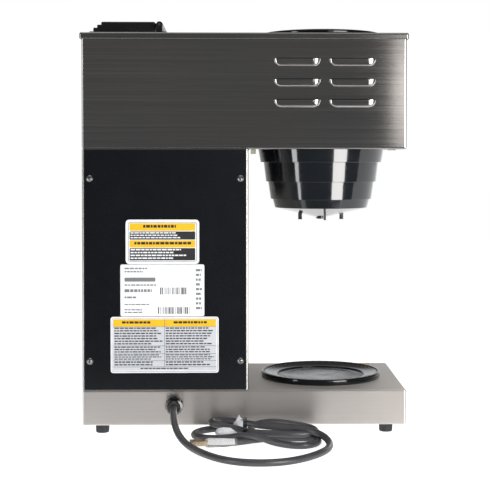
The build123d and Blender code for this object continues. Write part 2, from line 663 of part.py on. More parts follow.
# ---------------------------------------------------------------- tank
TANK_HALF = 75.0
TANK_Z = (150.0, 395.0)
TANK_T = 1.0
TANK_ROUND = 18.0
TANK_LOW_ROUND = 6.0
TANK_RIM = 8.0
RIM_ROUND = 12.0
RIM_SCREW_R = 1.7
GASKET_T = 2.0
TANK_LID_T = 2.0
LID_TOP = TANK_Z[1] + TANK_T + GASKET_T + TANK_LID_T
SPRAY_TUBE_X = 50.0
FILL_TUBE_R = 9.0
SPRAY_TUBE_R = 6.0
HEATER_R = 4.0
HEATER_OUT = 12.0  # its sheath above the tank's lid
STUD_H = 8.0
HEATER_X = 85.0
HEATER_Y = (MID_Y - 30, MID_Y + 30)
BULB_Y = MID_Y + 50
LIMIT_Y = MID_Y - 52
TANK_X = around(COLUMN_MID, TANK_HALF)
TANK_Y = around(MID_Y, TANK_HALF)
RIM_X = shrink(TANK_X, -TANK_RIM)
RIM_Y = shrink(TANK_Y, -TANK_RIM)
RIM_SCREWS = [
    (COLUMN_MID + i * (TANK_HALF + 4), MID_Y + j * (TANK_HALF + 4))
    for i in (-1, 0, 1)
    for j in (-1, 0, 1)
    if (i, j) != (0, 0)
]


def rim_holes(low, height):
    """Bars that drill the tank's rim screws."""
    return [rod((x, y, low), UP, RIM_SCREW_R + FIT, height) for x, y in RIM_SCREWS]


def make_tank():
    """Deep-drawn water tank with a flat rim."""
    tank = upright_rounded(TANK_X, TANK_Y, TANK_Z, TANK_ROUND)
    tank = fillet(tank.faces().sort_by(Axis.Z)[0].edges(), TANK_LOW_ROUND)
    rim = upright_rounded(RIM_X, RIM_Y, (TANK_Z[1], TANK_Z[1] + TANK_T), RIM_ROUND)
    inside_z = (TANK_Z[0] + TANK_T, TANK_Z[1] + 2 * TANK_T)
    hollow = upright_rounded(shrink(TANK_X, TANK_T), shrink(TANK_Y, TANK_T), inside_z, TANK_ROUND - TANK_T)
    hollow = fillet(hollow.faces().sort_by(Axis.Z)[0].edges(), TANK_LOW_ROUND - TANK_T)
    tank = tank + rim - hollow
    for bar in rim_holes(TANK_Z[1] - TANK_T, 3 * TANK_T):
        tank -= bar
    return tank


def make_tank_gasket():
    """Flat silicone gasket between the rim and the tank's lid."""
    low = TANK_Z[1] + TANK_T
    gasket = upright_rounded(RIM_X, RIM_Y, (low, low + GASKET_T), RIM_ROUND)
    inside = (shrink(TANK_X, 2 * TANK_T), shrink(TANK_Y, 2 * TANK_T), (low, low + GASKET_T))
    gasket -= upright_rounded(*inside, TANK_ROUND - TANK_T)
    for bar in rim_holes(low, GASKET_T):
        gasket -= bar
    return gasket


def make_tank_lid():
    """Plate that closes the tank, drilled for its fittings."""
    low = LID_TOP - TANK_LID_T
    lid = upright_rounded(RIM_X, RIM_Y, (low, LID_TOP), RIM_ROUND)
    fittings = [(FILL_X, MID_Y, FILL_TUBE_R), (SPRAY_TUBE_X, MID_Y, SPRAY_TUBE_R)]
    fittings += [(HEATER_X, y, HEATER_R) for y in (*HEATER_Y, BULB_Y)]
    for x, y, r in fittings:
        lid -= rod((x, y, low - TANK_LID_T), UP, r + FIT, 3 * TANK_LID_T)
    for bar in rim_holes(low, TANK_LID_T):
        lid -= bar
    return lid


def make_tank_lid_screws():
    """Screws and nuts round the tank's rim."""
    head_r, head_h, nut_r, nut_h = 3.2, 2.2, 3.4, 3.0
    low = TANK_Z[1] - nut_h
    screws = []
    for x, y in RIM_SCREWS:
        screw = rod((x, y, low), UP, RIM_SCREW_R, LID_TOP - low) + rod((x, y, LID_TOP), UP, head_r, head_h)
        screws.append(screw + extrude(Plane((x, y, low)) * RegularPolygon(nut_r, 6), amount=nut_h))
    return group(screws)


def make_tank_shelf():
    """Shelf across the column, flanged to both side walls."""
    thick, flange_h, half_y, hole_r = 1.5, 22.0, 60.0, 30.0
    x = shrink(COLUMN_X, SHEET + FIT)
    y = around(MID_Y, half_y)
    shelf = block(x, y, (TANK_Z[0] - thick, TANK_Z[0]))
    for inner in (x[0], x[1] - thick):
        shelf += block((inner, inner + thick), y, (TANK_Z[0] - flange_h, TANK_Z[0]))
    return shelf - rod((COLUMN_MID, MID_Y, TANK_Z[0] - 2 * thick), UP, hole_r, 3 * thick)


def make_tank_heater():
    """Hairpin sheathed heater with its two terminal studs."""
    low, high, bend_r = TANK_Z[0] + 22, LID_TOP + HEATER_OUT, 22.0
    collar_r, collar_h, stud_r = 7.0, 3.0, 1.8
    ends = [(HEATER_X, y, high) for y in HEATER_Y]
    turns = [(HEATER_X, y, low) for y in HEATER_Y]
    heater = tube_along([ends[0], *turns, ends[1]], [bend_r, bend_r], HEATER_R)
    for x, y, z in ends:
        heater += rod((x, y, LID_TOP), UP, collar_r, collar_h) + rod((x, y, z), UP, stud_r, STUD_H)
    return heater


def make_fill_tube():
    """Tube from the basin's outlet down to the bottom of the tank."""
    low, wall, lap, collar_h = TANK_Z[0] + 14, 1.4, 8.0, 3.0
    top = BASIN_LOW_Z - OUTLET_H + lap
    tube = pipe((FILL_X, MID_Y, low), UP, FILL_TUBE_R, FILL_TUBE_R - wall, top - low)
    return tube + pipe((FILL_X, MID_Y, LID_TOP), UP, FILL_TUBE_R + 4, FILL_TUBE_R - wall, collar_h)


def make_spray_tube():
    """Tube from the top of the tank across to the sprayhead's stem."""
    high, wall, bend_r, collar_r, collar_h = LID_TOP + 44, 1.2, 22.0, 10.0, 3.0
    path = [
        (SPRAY_TUBE_X, MID_Y, TANK_Z[1] - 12), (SPRAY_TUBE_X, MID_Y, high),
        (STATION_X, MID_Y, high), (STATION_X, MID_Y, FLOOR_Z + SPRAY_STEM[2]),
    ]
    bends = [bend_r, bend_r]
    tube = tube_along(path, bends, SPRAY_TUBE_R) - tube_along(path, bends, SPRAY_TUBE_R - wall)
    return tube + pipe((SPRAY_TUBE_X, MID_Y, LID_TOP), UP, collar_r, SPRAY_TUBE_R - wall, collar_h)


def make_limit_thermostat():
    """Snap-disc limit thermostat on the tank's lid."""
    flange, can, tab_off = (10.0, 1.0), (8.0, 9.0), 4.0
    tab_z = (LID_TOP + can[1] - TAB_T, LID_TOP + can[1] + STUD_H)
    disc = rod((HEATER_X, LIMIT_Y, LID_TOP), UP, *flange) + rod((HEATER_X, LIMIT_Y, LID_TOP), UP, *can)
    for x in around(HEATER_X, tab_off):
        disc += block(around(x, TAB_T / 2), around(LIMIT_Y, TAB_W / 2), tab_z)
    return disc


THERMO_X = (20.0, 62.0)
THERMO_Y = (FRONT_Y + SHEET, FRONT_Y + SHEET + 14)
THERMO_Z = (90.0, 122.0)
CAPILLARY_R = 1.0
CAPILLARY_BENDS = [5.0, 8.0, 10.0, 10.0, 10.0, 5.0]


def make_thermostat_body():
    """Control thermostat on the column's front wall, shaft and tabs included."""
    boss_r, boss_h, shaft_r, shaft_l = 7.0, 3.0, 3.0, 11.0
    body = block(THERMO_X, THERMO_Y, THERMO_Z)
    middle = (sum(THERMO_X) / 2, THERMO_Y[1], sum(THERMO_Z) / 2)
    body += rod(middle, BACK, boss_r, boss_h)
    return body + rod(middle, BACK, shaft_r, shaft_l)


def make_thermostat_bulb():
    """Sensing bulb in the tank, its capillary led down the back of the tank to the thermostat."""
    top, low, back = LID_TOP + 6, LID_TOP - 100, TANK_Y[1] + 14
    over, under, side_x = top + 14, THERMO_Z[1] + 14, THERMO_X[0] - 8
    end_x, end_y = THERMO_X[0] + 12, THERMO_Y[0] + 8
    path = [
        (HEATER_X, BULB_Y, top - 1), (HEATER_X, BULB_Y, over),
        (HEATER_X, back, over), (HEATER_X, back, under),
        (side_x, back, under), (side_x, end_y, under), (end_x, end_y, under), (end_x, end_y, THERMO_Z[1]),
    ]
    bulb = rod((HEATER_X, BULB_Y, low), UP, HEATER_R, top - low)
    return bulb + tube_along(path, CAPILLARY_BENDS, CAPILLARY_R)


parts["tank"] = make_tank()
parts["tank_gasket"] = make_tank_gasket()
parts["tank_lid"] = make_tank_lid()
parts["tank_lid_screws"] = make_tank_lid_screws()
parts["tank_shelf"] = make_tank_shelf()
parts["tank_heater"] = make_tank_heater()
parts["fill_tube"] = make_fill_tube()
parts["spray_tube"] = make_spray_tube()
parts["limit_thermostat"] = make_limit_thermostat()
parts["thermostat_body"] = make_thermostat_body()
parts["thermostat_bulb"] = make_thermostat_bulb()

# ---------------------------------------------------------------- switches
PANEL_X = (64.0, 164.0)
PANEL_Z = (402.0, 450.0)
PANEL_T = 1.5
BEZEL = (18.0, 34.0)
BEZEL_T = 2.0
BODY_DEPTH = 20.0
ROCKER = (10.6, 21.0)
ROCKER_OUT = 3.6  # rocker face ahead of its bezel at the middle
ROCKER_TILT = 7.0
ROCKER_DIP = 1.2  # middle of the V face below its ends
ROCKER_BACK = 1.5  # rocker's ends behind the pivot
TRUNNION = (1.4, 1.3)  # radius, and length out of each side
BEZEL_ROUND = 0.8
WELL_HALF_H = 12.2
WELL_BACK = 4.5  # well's floor behind the pivot
SWITCH_TAB = (6.0, 8.0, 0.8)  # width, length and thickness
SWITCH_TAB_PITCH = 8.0
PIVOT_Y = FRONT_Y - PANEL_T + 3.0
SWITCH_NAMES = ("brew_switch", "upper_warmer_switch", "lower_warmer_switch")


def make_switch_panel():
    """Thin panel on the head's front that frames the switches."""
    panel = upright_rounded(PANEL_X, (FRONT_Y - PANEL_T, FRONT_Y), PANEL_Z, 0.5)
    for x in SWITCH_X:
        panel -= block(
            around(x, SWITCH_BODY[0] / 2), (FRONT_Y - 2 * PANEL_T, FRONT_Y + PANEL_T),
            around(SWITCH_Z, SWITCH_BODY[1] / 2),
        )
    return panel


def make_switch_body(x):
    """Snap-in switch body with a bezel, a rocker well and three tabs."""
    face = FRONT_Y - PANEL_T
    width, height = (side - 4 * FIT for side in SWITCH_BODY)
    body = block(around(x, width / 2), (face, face + BODY_DEPTH), around(SWITCH_Z, height / 2))
    bezel = block(around(x, BEZEL[0] / 2), (face - BEZEL_T, face), around(SWITCH_Z, BEZEL[1] / 2))
    body += fillet(bezel.faces().sort_by(Axis.Y)[0].edges(), BEZEL_ROUND)
    tab_w, tab_l, tab_t = SWITCH_TAB
    for z in (SWITCH_Z - SWITCH_TAB_PITCH, SWITCH_Z, SWITCH_Z + SWITCH_TAB_PITCH):
        tab_y = (face + BODY_DEPTH - tab_t, face + BODY_DEPTH + tab_l)
        body += block(around(x, tab_w / 2), tab_y, around(z, tab_t / 2))
    well_y = (face - 2 * BEZEL_T, PIVOT_Y + WELL_BACK)
    body -= block(around(x, ROCKER[0] / 2 + 4 * FIT), well_y, around(SWITCH_Z, WELL_HALF_H))
    pin_r, pin_out = TRUNNION
    start = (x - ROCKER[0] / 2 - pin_out - 2 * FIT, PIVOT_Y, SWITCH_Z)
    return body - rod(start, RIGHT, pin_r + FIT / 2, ROCKER[0] + 2 * pin_out + 4 * FIT)


def make_rocker(x):
    """Rocker with a shallow V face, tipped to its off side."""
    face = FRONT_Y - PANEL_T - BEZEL_T - ROCKER_OUT - PIVOT_Y
    width, height = ROCKER
    half = height / 2
    outline = [
        (face + ROCKER_DIP, 0), (face, -half), (ROCKER_BACK, -half), (ROCKER_BACK + 1, 0),
        (ROCKER_BACK, half), (face, half),
    ]
    low_x = x - width / 2
    side = make_face(Polyline([(low_x, y, z) for y, z in outline], close=True))
    rocker = extrude(side, amount=width, dir=RIGHT)
    pin_r, pin_out = TRUNNION
    rocker += rod((low_x - pin_out, 0, 0), RIGHT, pin_r, width + 2 * pin_out)
    return Pos(0, PIVOT_Y, SWITCH_Z) * Rot(-ROCKER_TILT, 0, 0) * rocker


parts["switch_panel"] = make_switch_panel()
for name, x in zip(SWITCH_NAMES, SWITCH_X):
    parts[f"{name}_body"] = make_switch_body(x)
    parts[f"{name}_rocker"] = make_rocker(x)

# ---------------------------------------------------------------- wiring
BLOCK_X = (60.0, 120.0)
BLOCK_Y = (MID_Y - 62, MID_Y - 38)
BLOCK_Z = (90.0, 108.0)
BRACKET_T = 2.0
TERMINALS = 5
ROW_INSET = 6.0  # each row of terminal screws, from the block's edge


def make_terminal_block():
    """Terminal block on a bracket from the column's front wall, with two rows of screws."""
    strip = block(BLOCK_X, BLOCK_Y, BLOCK_Z)
    for i in range(TERMINALS):
        x = BLOCK_X[0] + ROW_INSET + 2 * ROW_INSET * i
        for y in shrink(BLOCK_Y, ROW_INSET):
            strip -= rod((x, y, BLOCK_Z[1] - 4), UP, 3.0, 8)
            strip += rod((x, y, BLOCK_Z[1] - 5), UP, 2.4, 3)
    x = shrink(BLOCK_X, -ROW_INSET)
    foot = block(x, shrink(BLOCK_Y, -4), (BLOCK_Z[0] - BRACKET_T, BLOCK_Z[0]))
    wall_y = (FRONT_Y + SHEET, BLOCK_Y[1] + 4)
    return strip + foot + block(x, wall_y, (BLOCK_Z[0] - 2 * BRACKET_T, BLOCK_Z[0] - BRACKET_T))


def make_wire_harness():
    """Bundled leads: mains to the block, then to the heater, the switches and both warmers."""
    back_y, front_y = shrink(TANK_Y, -12)[::-1]
    side_x, side_y = RIM_X[1] + 2.8, MID_Y - 66
    row_y, near_y = BLOCK_Y[1] - ROW_INSET, BLOCK_Y[0] + ROW_INSET
    block_top, warmer_z = BLOCK_Z[1], 36.0
    mains_y, mains_z = MID_Y + 40, 130.0
    live_x, over = BLOCK_X[1] - ROW_INSET, LID_TOP + HEATER_OUT + STUD_H
    switch_x, switch_z, drop_x = 102.0, SWITCH_Z - 22, 48.0
    duct_z, tray_z, riser_x = TOP_Z - 40, TOP_Z - 26, 30.0
    first_x = BLOCK_X[0] + ROW_INSET
    mains = [
        (GLAND_X, BACK_Y - 8, GLAND_Z), (GLAND_X, mains_y, GLAND_Z), (GLAND_X, mains_y, mains_z),
        (GLAND_X, row_y, mains_z), (GLAND_X, row_y, block_top),
    ]
    heater = [
        (live_x, row_y, block_top), (live_x, row_y, 124), (live_x, side_y, 124), (side_x, side_y, 124),
        (side_x, side_y, over + 12), (HEATER_X, side_y, over + 12), (HEATER_X, HEATER_Y[0], over + 12),
        (HEATER_X, HEATER_Y[0], over),
    ]
    switches = [
        (switch_x, near_y, block_top), (switch_x, near_y, 136), (switch_x, front_y, 136),
        (switch_x, front_y, 384), (130, front_y, switch_z),
    ]
    warmer = [
        (first_x, row_y, block_top), (first_x, row_y, 118), (drop_x, row_y, 118), (drop_x, row_y, warmer_z),
        (STATION_X + 56, MID_Y - 12, warmer_z),
    ]
    upper = [
        (riser_x, back_y, LID_TOP + 12), (riser_x, back_y, duct_z), (STATION_X + 70, back_y, duct_z),
        (STATION_X + 60, MID_Y + 20, tray_z),
    ]
    bundles = [(mains, 4.0, 11), (heater, 2.0, 5), (switches, 2.2, 6), (warmer, 2.2, 6), (upper, 2.2, 8)]
    return group(tube_along(path, [bend] * (len(path) - 2), r) for path, r, bend in bundles)


parts["terminal_block"] = make_terminal_block()
parts["wire_harness"] = make_wire_harness()

# ---------------------------------------------------------------- labels
LABEL_T = 0.3
LABELS = [  # x span, z span, from the top one down
    ((56.7, 148.6), (215.4, 271.0)), ((50.4, 155.2), (150.0, 214.9)), ((32.5, 167.5), (79.0, 149.4)),
]
DECAL_X = (-178.0, -158.0)


def make_label(x, z):
    """Thin adhesive label with rounded corners on the back cover."""
    label = block(x, (COVER_FACE_Y, COVER_FACE_Y + LABEL_T), z)
    return fillet(label.edges().filter_by(Axis.Y), 3.0)


def make_base_decal():
    """Small decal on the base's top near its front edge."""
    decal = block(DECAL_X, (FRONT_Y + 4, FRONT_Y + 14), (BASE_Z[1], BASE_Z[1] + LABEL_T))
    return fillet(decal.edges().filter_by(Axis.Z), 1.5)


parts["back_labels"] = group(make_label(x, z) for x, z in LABELS)
parts["base_decal"] = make_base_decal()

# ---------------------------------------------------------------- power cord
CORD_R = 4.25
GLAND_R = 11.3
GLAND_BORE = 4.0  # depth of the gland's outer bore, where the cord starts
ROUTE = [  # x, distance behind the body, z
    (88.0, 16.0, 38.4), (87.8, 34.0, 37.2), (86.6, 49.0, 28.2), (82.3, 61.0, 17.4), (74.2, 73.5, 8.6),
    (63.3, 91.0, 4.5), (49.0, 119.0, 4.3), (30.0, 146.0, 4.3), (7.0, 162.3, 4.3), (-19.0, 166.5, 4.3),
    (-45.0, 161.0, 4.3), (-68.0, 144.0, 4.3), (-86.0, 121.5, 4.3), (-98.5, 97.0, 4.5), (-102.3, 75.0, 6.2),
    (-95.7, 56.1, 11.0), (-80.8, 42.8, 14.8), (-61.3, 38.4, 16.8), (-41.0, 37.0, 17.8), (-20.0, 31.0, 18.2),
]
HANK_OUTLINE = [  # x, distance behind the body
    (67.0, 24.0), (52.0, 46.0), (20.0, 53.0), (-10.0, 63.0), (-40.0, 79.0), (-72.0, 83.0), (-94.0, 56.0),
    (-92.0, 24.0), (-52.0, 7.0), (0.0, 5.0), (44.0, 1.2),
]
HANK_TOP = 24.5
HANK_SLOPE = ((0.5, HANK_TOP), (38.0, HANK_TOP), (84.0, 9.0))
TIE_X = (-2.5, 2.5)
TIE_OUT = (12.0, 47.0)
TIE_Z = (8.0, 26.0)
TIE_T = 1.2
TIE_ROUND = 7.0
TAG_OUT = 23.0
TAG_T = 0.5
TAG_OUTLINE = [(4.0, 12.0), (25.0, 12.0), (25.0, 17.0), (12.0, 27.0), (8.5, 23.0), (4.0, 23.0)]  # x, z
PLUG_X = (14.0, 48.0)
PLUG_OUT = (54.5, 73.5)
PLUG_H = 9.6
PLUG_CORNER = 7.0
PLUG_EDGE = 2.5
NECK_L = 10.0
PRONG_L = 19.0
BLADE_T = 1.6
BLADE_OFF = 6.0  # each blade, from the plug's middle
BLADE_Z = (2.0, 7.6)
PIN_PRONG = (3.2, 2.2)  # height of its middle, and radius


def behind(points):
    """Route points turned into the part's own frame."""
    return [(x, BACK_Y + out, z) for x, out, z in points]


def corner_radii(points):
    """The largest arc each corner's two runs allow, with a little straight left between arcs."""
    radii = []
    for before, corner, after in zip(points, points[1:], points[2:]):
        first = Vector(*corner) - Vector(*before)
        second = Vector(*after) - Vector(*corner)
        half_turn = math.radians(first.get_angle(second)) / 2
        radii.append(0.45 * min(first.length, second.length) / math.tan(half_turn))
    return radii


def make_gland_body():
    """Cord grip: flange against the base's back, ribbed nut, rounded taper and a threaded shank."""
    y0 = BACK_Y
    outline = [(0, -8), (GLAND_THREAD_R, -8), (GLAND_THREAD_R, 0), (GLAND_R, 0), (GLAND_R, 9),
               (GLAND_R - 1.2, 12), (8.4, GLAND_OUT - 1.5), (7.0, GLAND_OUT), (0, GLAND_OUT)]
    face = make_face(Polyline([(GLAND_X + r, y0 + out, GLAND_Z) for r, out in outline], close=True))
    grip = revolve(face, Axis((GLAND_X, y0, GLAND_Z), BACK))
    for i in range(6):
        turn = math.radians(60 * i + 30)
        x, z = GLAND_X + (GLAND_R + 1.2) * math.cos(turn), GLAND_Z + (GLAND_R + 1.2) * math.sin(turn)
        grip -= rod((x, y0 + 3, z), BACK, 2.2, GLAND_OUT)
    return grip - rod((GLAND_X, y0 + GLAND_OUT - GLAND_BORE, GLAND_Z), BACK, CORD_R + 0.4, GLAND_BORE + 1)


def make_gland_locknut():
    """Locknut on the gland's shank inside the base."""
    low = BACK_Y - SHEET - 5
    nut = extrude(Plane((GLAND_X, low, GLAND_Z), z_dir=BACK) * RegularPolygon(12, 6), amount=5)
    return nut - rod((GLAND_X, low, GLAND_Z), BACK, GLAND_THREAD_R + 0.05, 5)


def make_cord_lead():
    """The mains cord from the gland to the hank."""
    points = behind(ROUTE)
    radii = corner_radii(points)
    print("cord arc radii", [round(r, 1) for r in radii])
    path = FilletPolyline(*points, radius=radii)
    lead = sweep(Plane(origin=path @ 0, z_dir=path % 0) * Circle(CORD_R), path=path)
    section = math.pi * CORD_R**2
    print("cord length", round(path.length, 1), "tube / section", round(lead.volume / section, 1))
    return lead


def make_cord_hank():
    """Outer shape of the loose hank: flat below, high near the base, low at its outer edge."""
    outline = make_face(Spline([(x, BACK_Y + out) for x, out in HANK_OUTLINE], periodic=True))
    side = [(HANK_SLOPE[0][0], 0)] + list(HANK_SLOPE) + [(HANK_SLOPE[-1][0], 0)]
    profile = make_face(Polyline([(-BODY_W / 2, BACK_Y + out, z) for out, z in side], close=True))
    return extrude(outline, amount=HANK_TOP) & extrude(profile, amount=BODY_W, dir=RIGHT)


def make_cord_tie():
    """Strap round the middle of the hank."""
    out = (BACK_Y + TIE_OUT[0], BACK_Y + TIE_OUT[1])
    strap = fillet(block(TIE_X, out, TIE_Z).edges().filter_by(Axis.X), TIE_ROUND)
    bore = block(TIE_X, shrink(out, TIE_T), shrink(TIE_Z, TIE_T))
    return strap - fillet(bore.edges().filter_by(Axis.X), TIE_ROUND - TIE_T)


def make_cord_tag():
    """Blank folded paper tag tucked into the hank."""
    panel = make_face(Polyline([(x, BACK_Y + TAG_OUT, z) for x, z in TAG_OUTLINE], close=True))
    return extrude(panel, amount=TAG_T, dir=BACK)


def plug_prong_shapes():
    """Two blades and a round earth pin."""
    middle = BACK_Y + sum(PLUG_OUT) / 2
    prong_x = (PLUG_X[1] - 3, PLUG_X[1] + PRONG_L)
    blades = [block(prong_x, around(middle + off, BLADE_T / 2), BLADE_Z) for off in (-BLADE_OFF, BLADE_OFF)]
    return blades + [rod((prong_x[0], middle, PIN_PRONG[0]), RIGHT, PIN_PRONG[1], PRONG_L + 4)]


def make_cord_plug():
    """Low moulded plug, rounded all over, with a short taper where the cord enters."""
    body = block(PLUG_X, (BACK_Y + PLUG_OUT[0], BACK_Y + PLUG_OUT[1]), (0, PLUG_H))
    body = fillet(body.edges().filter_by(Axis.Z), PLUG_CORNER)
    ends = body.faces().sort_by(Axis.Z)
    body = fillet(ends[0].edges() + ends[-1].edges(), PLUG_EDGE)
    start = (PLUG_X[0] + 4, BACK_Y + sum(PLUG_OUT) / 2 - 2, PLUG_H / 2)
    body += rod(start, (-1, -0.45, 0), PLUG_H / 2 - 0.1, NECK_L)
    for prong in plug_prong_shapes():
        body -= prong
    return body


parts["gland_body"] = make_gland_body()
parts["gland_locknut"] = make_gland_locknut()
parts["cord_lead"] = make_cord_lead()
parts["cord_hank"] = make_cord_hank()
parts["cord_tie"] = make_cord_tie()
parts["cord_tag"] = make_cord_tag()
parts["cord_plug"] = make_cord_plug()
parts["plug_prongs"] = group(plug_prong_shapes())

# ---------------------------------------------------------------- export
for name, shape in parts.items():
    export_step(shape, f"parts/{name}.step")
print(len(parts), "parts")
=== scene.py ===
import json
import math
import random

import bmesh
import bpy
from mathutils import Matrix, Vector


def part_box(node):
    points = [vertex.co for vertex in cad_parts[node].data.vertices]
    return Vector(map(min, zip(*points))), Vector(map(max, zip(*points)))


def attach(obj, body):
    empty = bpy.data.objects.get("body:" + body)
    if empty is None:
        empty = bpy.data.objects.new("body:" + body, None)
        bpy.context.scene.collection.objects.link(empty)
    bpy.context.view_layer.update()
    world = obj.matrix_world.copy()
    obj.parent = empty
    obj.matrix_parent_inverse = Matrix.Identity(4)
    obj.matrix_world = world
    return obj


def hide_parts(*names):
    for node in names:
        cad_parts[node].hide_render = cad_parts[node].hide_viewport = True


# A pour-over coffee brewer seen from behind, on a pale studio floor. Everything is in metres, in the
# CAD frame: +Z up, front towards -Y. The viewer stands behind the brewer, so +X is on the left.
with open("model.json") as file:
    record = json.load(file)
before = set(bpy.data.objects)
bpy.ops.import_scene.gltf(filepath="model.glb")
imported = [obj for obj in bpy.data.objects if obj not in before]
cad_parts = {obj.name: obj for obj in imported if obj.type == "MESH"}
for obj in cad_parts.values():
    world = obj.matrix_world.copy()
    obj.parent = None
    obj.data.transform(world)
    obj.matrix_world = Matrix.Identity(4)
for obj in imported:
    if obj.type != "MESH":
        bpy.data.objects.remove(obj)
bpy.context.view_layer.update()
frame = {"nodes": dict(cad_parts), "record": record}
nodes = frame["nodes"]
record = frame["record"]

SEED = 7
BACK_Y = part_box("base_pan")[1].y
COVER_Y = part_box("back_cover")[1].y


# ---------------------------------------------------------------- camera
CAMERA_OUT = 1.600  # behind the body's back
CAMERA_X = 0.0143
CAMERA_Z = 0.3477
CAMERA_YAW = 1.2  # degrees, towards the right of the picture
CAMERA_PITCH = 1.2  # degrees, down
LENS = 94.0
SHIFT = (-0.0305, -0.1225)
CLIP = (0.05, 100)


def make_camera():
    """The camera behind the brewer, CAMERA_Z above the floor."""
    data = bpy.data.cameras.new("camera")
    data.lens = LENS
    data.shift_x, data.shift_y = SHIFT
    data.clip_start, data.clip_end = CLIP
    camera = bpy.data.objects.new("camera", data)
    camera.location = (CAMERA_X, BACK_Y + CAMERA_OUT, CAMERA_Z)
    camera.rotation_euler = (math.radians(90 - CAMERA_PITCH), 0, math.radians(180 - CAMERA_YAW))
    bpy.context.scene.collection.objects.link(camera)
    bpy.context.scene.camera = camera


make_camera()

# ---------------------------------------------------------------- mains cord
CORD_DIAMETER = 0.0085
CORD_STEPS = 10  # along each stretch of the curve
CORD_FACETS = 6  # round a quarter of it
LEAD = [  # x, distance behind the body, z: from the gland to the hank
    (0.0880, 0.0160, 0.0384), (0.0878, 0.0340, 0.0372), (0.0866, 0.0490, 0.0282),
    (0.0823, 0.0610, 0.0174), (0.0742, 0.0735, 0.0086), (0.0633, 0.0910, 0.0045),
    (0.0490, 0.1190, 0.0043), (0.0300, 0.1460, 0.0043), (0.0070, 0.1623, 0.0043),
    (-0.0190, 0.1665, 0.0043), (-0.0450, 0.1610, 0.0043), (-0.0680, 0.1440, 0.0043),
    (-0.0860, 0.1215, 0.0043), (-0.0985, 0.0970, 0.0045), (-0.1023, 0.0750, 0.0062),
    (-0.0957, 0.0561, 0.0110), (-0.0808, 0.0428, 0.0148), (-0.0613, 0.0384, 0.0168),
    (-0.0410, 0.0370, 0.0178), (-0.0200, 0.0310, 0.0182),
]
HANK = [  # the loose hank's turns, on to the plug
    (-0.0040, 0.0220, 0.0190), (0.0140, 0.0110, 0.0200), (0.0270, 0.0060, 0.0200),
    (0.0370, 0.0075, 0.0200), (0.0420, 0.0150, 0.0200), (0.0400, 0.0240, 0.0198),
    (0.0280, 0.0300, 0.0185), (0.0110, 0.0335, 0.0150), (-0.0060, 0.0400, 0.0122),
    (-0.0240, 0.0450, 0.0118), (-0.0450, 0.0475, 0.0115), (-0.0640, 0.0475, 0.0110),
    (-0.0790, 0.0430, 0.0105), (-0.0880, 0.0330, 0.0105), (-0.0870, 0.0210, 0.0115),
    (-0.0760, 0.0140, 0.0135), (-0.0600, 0.0130, 0.0165), (-0.0370, 0.0150, 0.0198),
    (-0.0200, 0.0160, 0.0185), (-0.0040, 0.0210, 0.0140), (0.0140, 0.0160, 0.0115),
    (0.0300, 0.0095, 0.0105), (0.0440, 0.0060, 0.0090), (0.0560, 0.0095, 0.0075),
    (0.0630, 0.0190, 0.0062), (0.0620, 0.0310, 0.0060), (0.0530, 0.0410, 0.0060),
    (0.0410, 0.0455, 0.0060), (0.0280, 0.0470, 0.0066), (0.0150, 0.0490, 0.0082),
    (0.0030, 0.0530, 0.0112), (-0.0080, 0.0560, 0.0122), (-0.0200, 0.0590, 0.0095),
    (-0.0320, 0.0635, 0.0056), (-0.0460, 0.0720, 0.0043), (-0.0600, 0.0800, 0.0043),
    (-0.0740, 0.0790, 0.0043), (-0.0850, 0.0690, 0.0043), (-0.0900, 0.0550, 0.0043),
    (-0.0870, 0.0430, 0.0043), (-0.0770, 0.0380, 0.0043), (-0.0600, 0.0380, 0.0043),
    (-0.0420, 0.0380, 0.0043), (-0.0240, 0.0400, 0.0043), (-0.0080, 0.0480, 0.0043),
    (0.0020, 0.0560, 0.0045), (0.0110, 0.0610, 0.0048),
]


def make_cord():
    """One smooth curve through the whole mains cord."""
    data = bpy.data.curves.new("mains_cord", "CURVE")
    data.dimensions = "3D"
    data.resolution_u = CORD_STEPS
    data.bevel_depth = 1.0  # times each point's radius
    data.bevel_resolution = CORD_FACETS
    data.use_fill_caps = True
    points = LEAD + HANK
    spline = data.splines.new("NURBS")
    spline.points.add(len(points) - 1)
    for point, (x, out, z) in zip(spline.points, points):
        point.co = (x, BACK_Y + out, z, 1)
        point.radius = CORD_DIAMETER / 2
    spline.order_u = 3
    spline.use_endpoint_u = True
    cord = bpy.data.objects.new("mains_cord", data)
    bpy.context.scene.collection.objects.link(cord)
    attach(cord, "brewer")
    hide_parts("cord_lead", "cord_hank")
    return cord


cord = make_cord()


# ---------------------------------------------------------------- shader helpers
def new_material(name, colour, roughness, metallic=0.0, **sockets):
    """A material with its main shader set; the keywords are more of the shader's sockets."""
    made = bpy.data.materials.new(name)
    made.use_nodes = True
    shader = made.node_tree.nodes["Principled BSDF"]
    shader.inputs["Base Color"].default_value = (*colour, 1)
    shader.inputs["Roughness"].default_value = roughness
    shader.inputs["Metallic"].default_value = metallic
    for socket, value in sockets.items():
        shader.inputs[socket.replace("_", " ")].default_value = value
    return made


def shader_of(made):
    return made.node_tree.nodes["Principled BSDF"]


def add(made, kind, inputs=(), **settings):
    """A new node with its settings; inputs is a mapping of socket to a value or another node's output."""
    node = made.node_tree.nodes.new(kind)
    for name, value in settings.items():
        setattr(node, name, value)
    for socket, value in dict(inputs).items():
        if isinstance(value, bpy.types.NodeSocket):
            made.node_tree.links.new(value, node.inputs[socket])
        else:
            node.inputs[socket].default_value = value
    return node


def place(made, stretch=(1, 1, 1)):
    """Positions on the object, stretched."""
    where = add(made, "ShaderNodeTexCoord").outputs["Object"]
    return add(made, "ShaderNodeMapping", {"Vector": where, "Scale": stretch}).outputs["Vector"]


def noise(made, where, scale, detail=3.0, roughness=0.5):
    return add(
        made, "ShaderNodeTexNoise",
        {"Vector": where, "Scale": scale, "Detail": detail, "Roughness": roughness},
    ).outputs["Fac"]


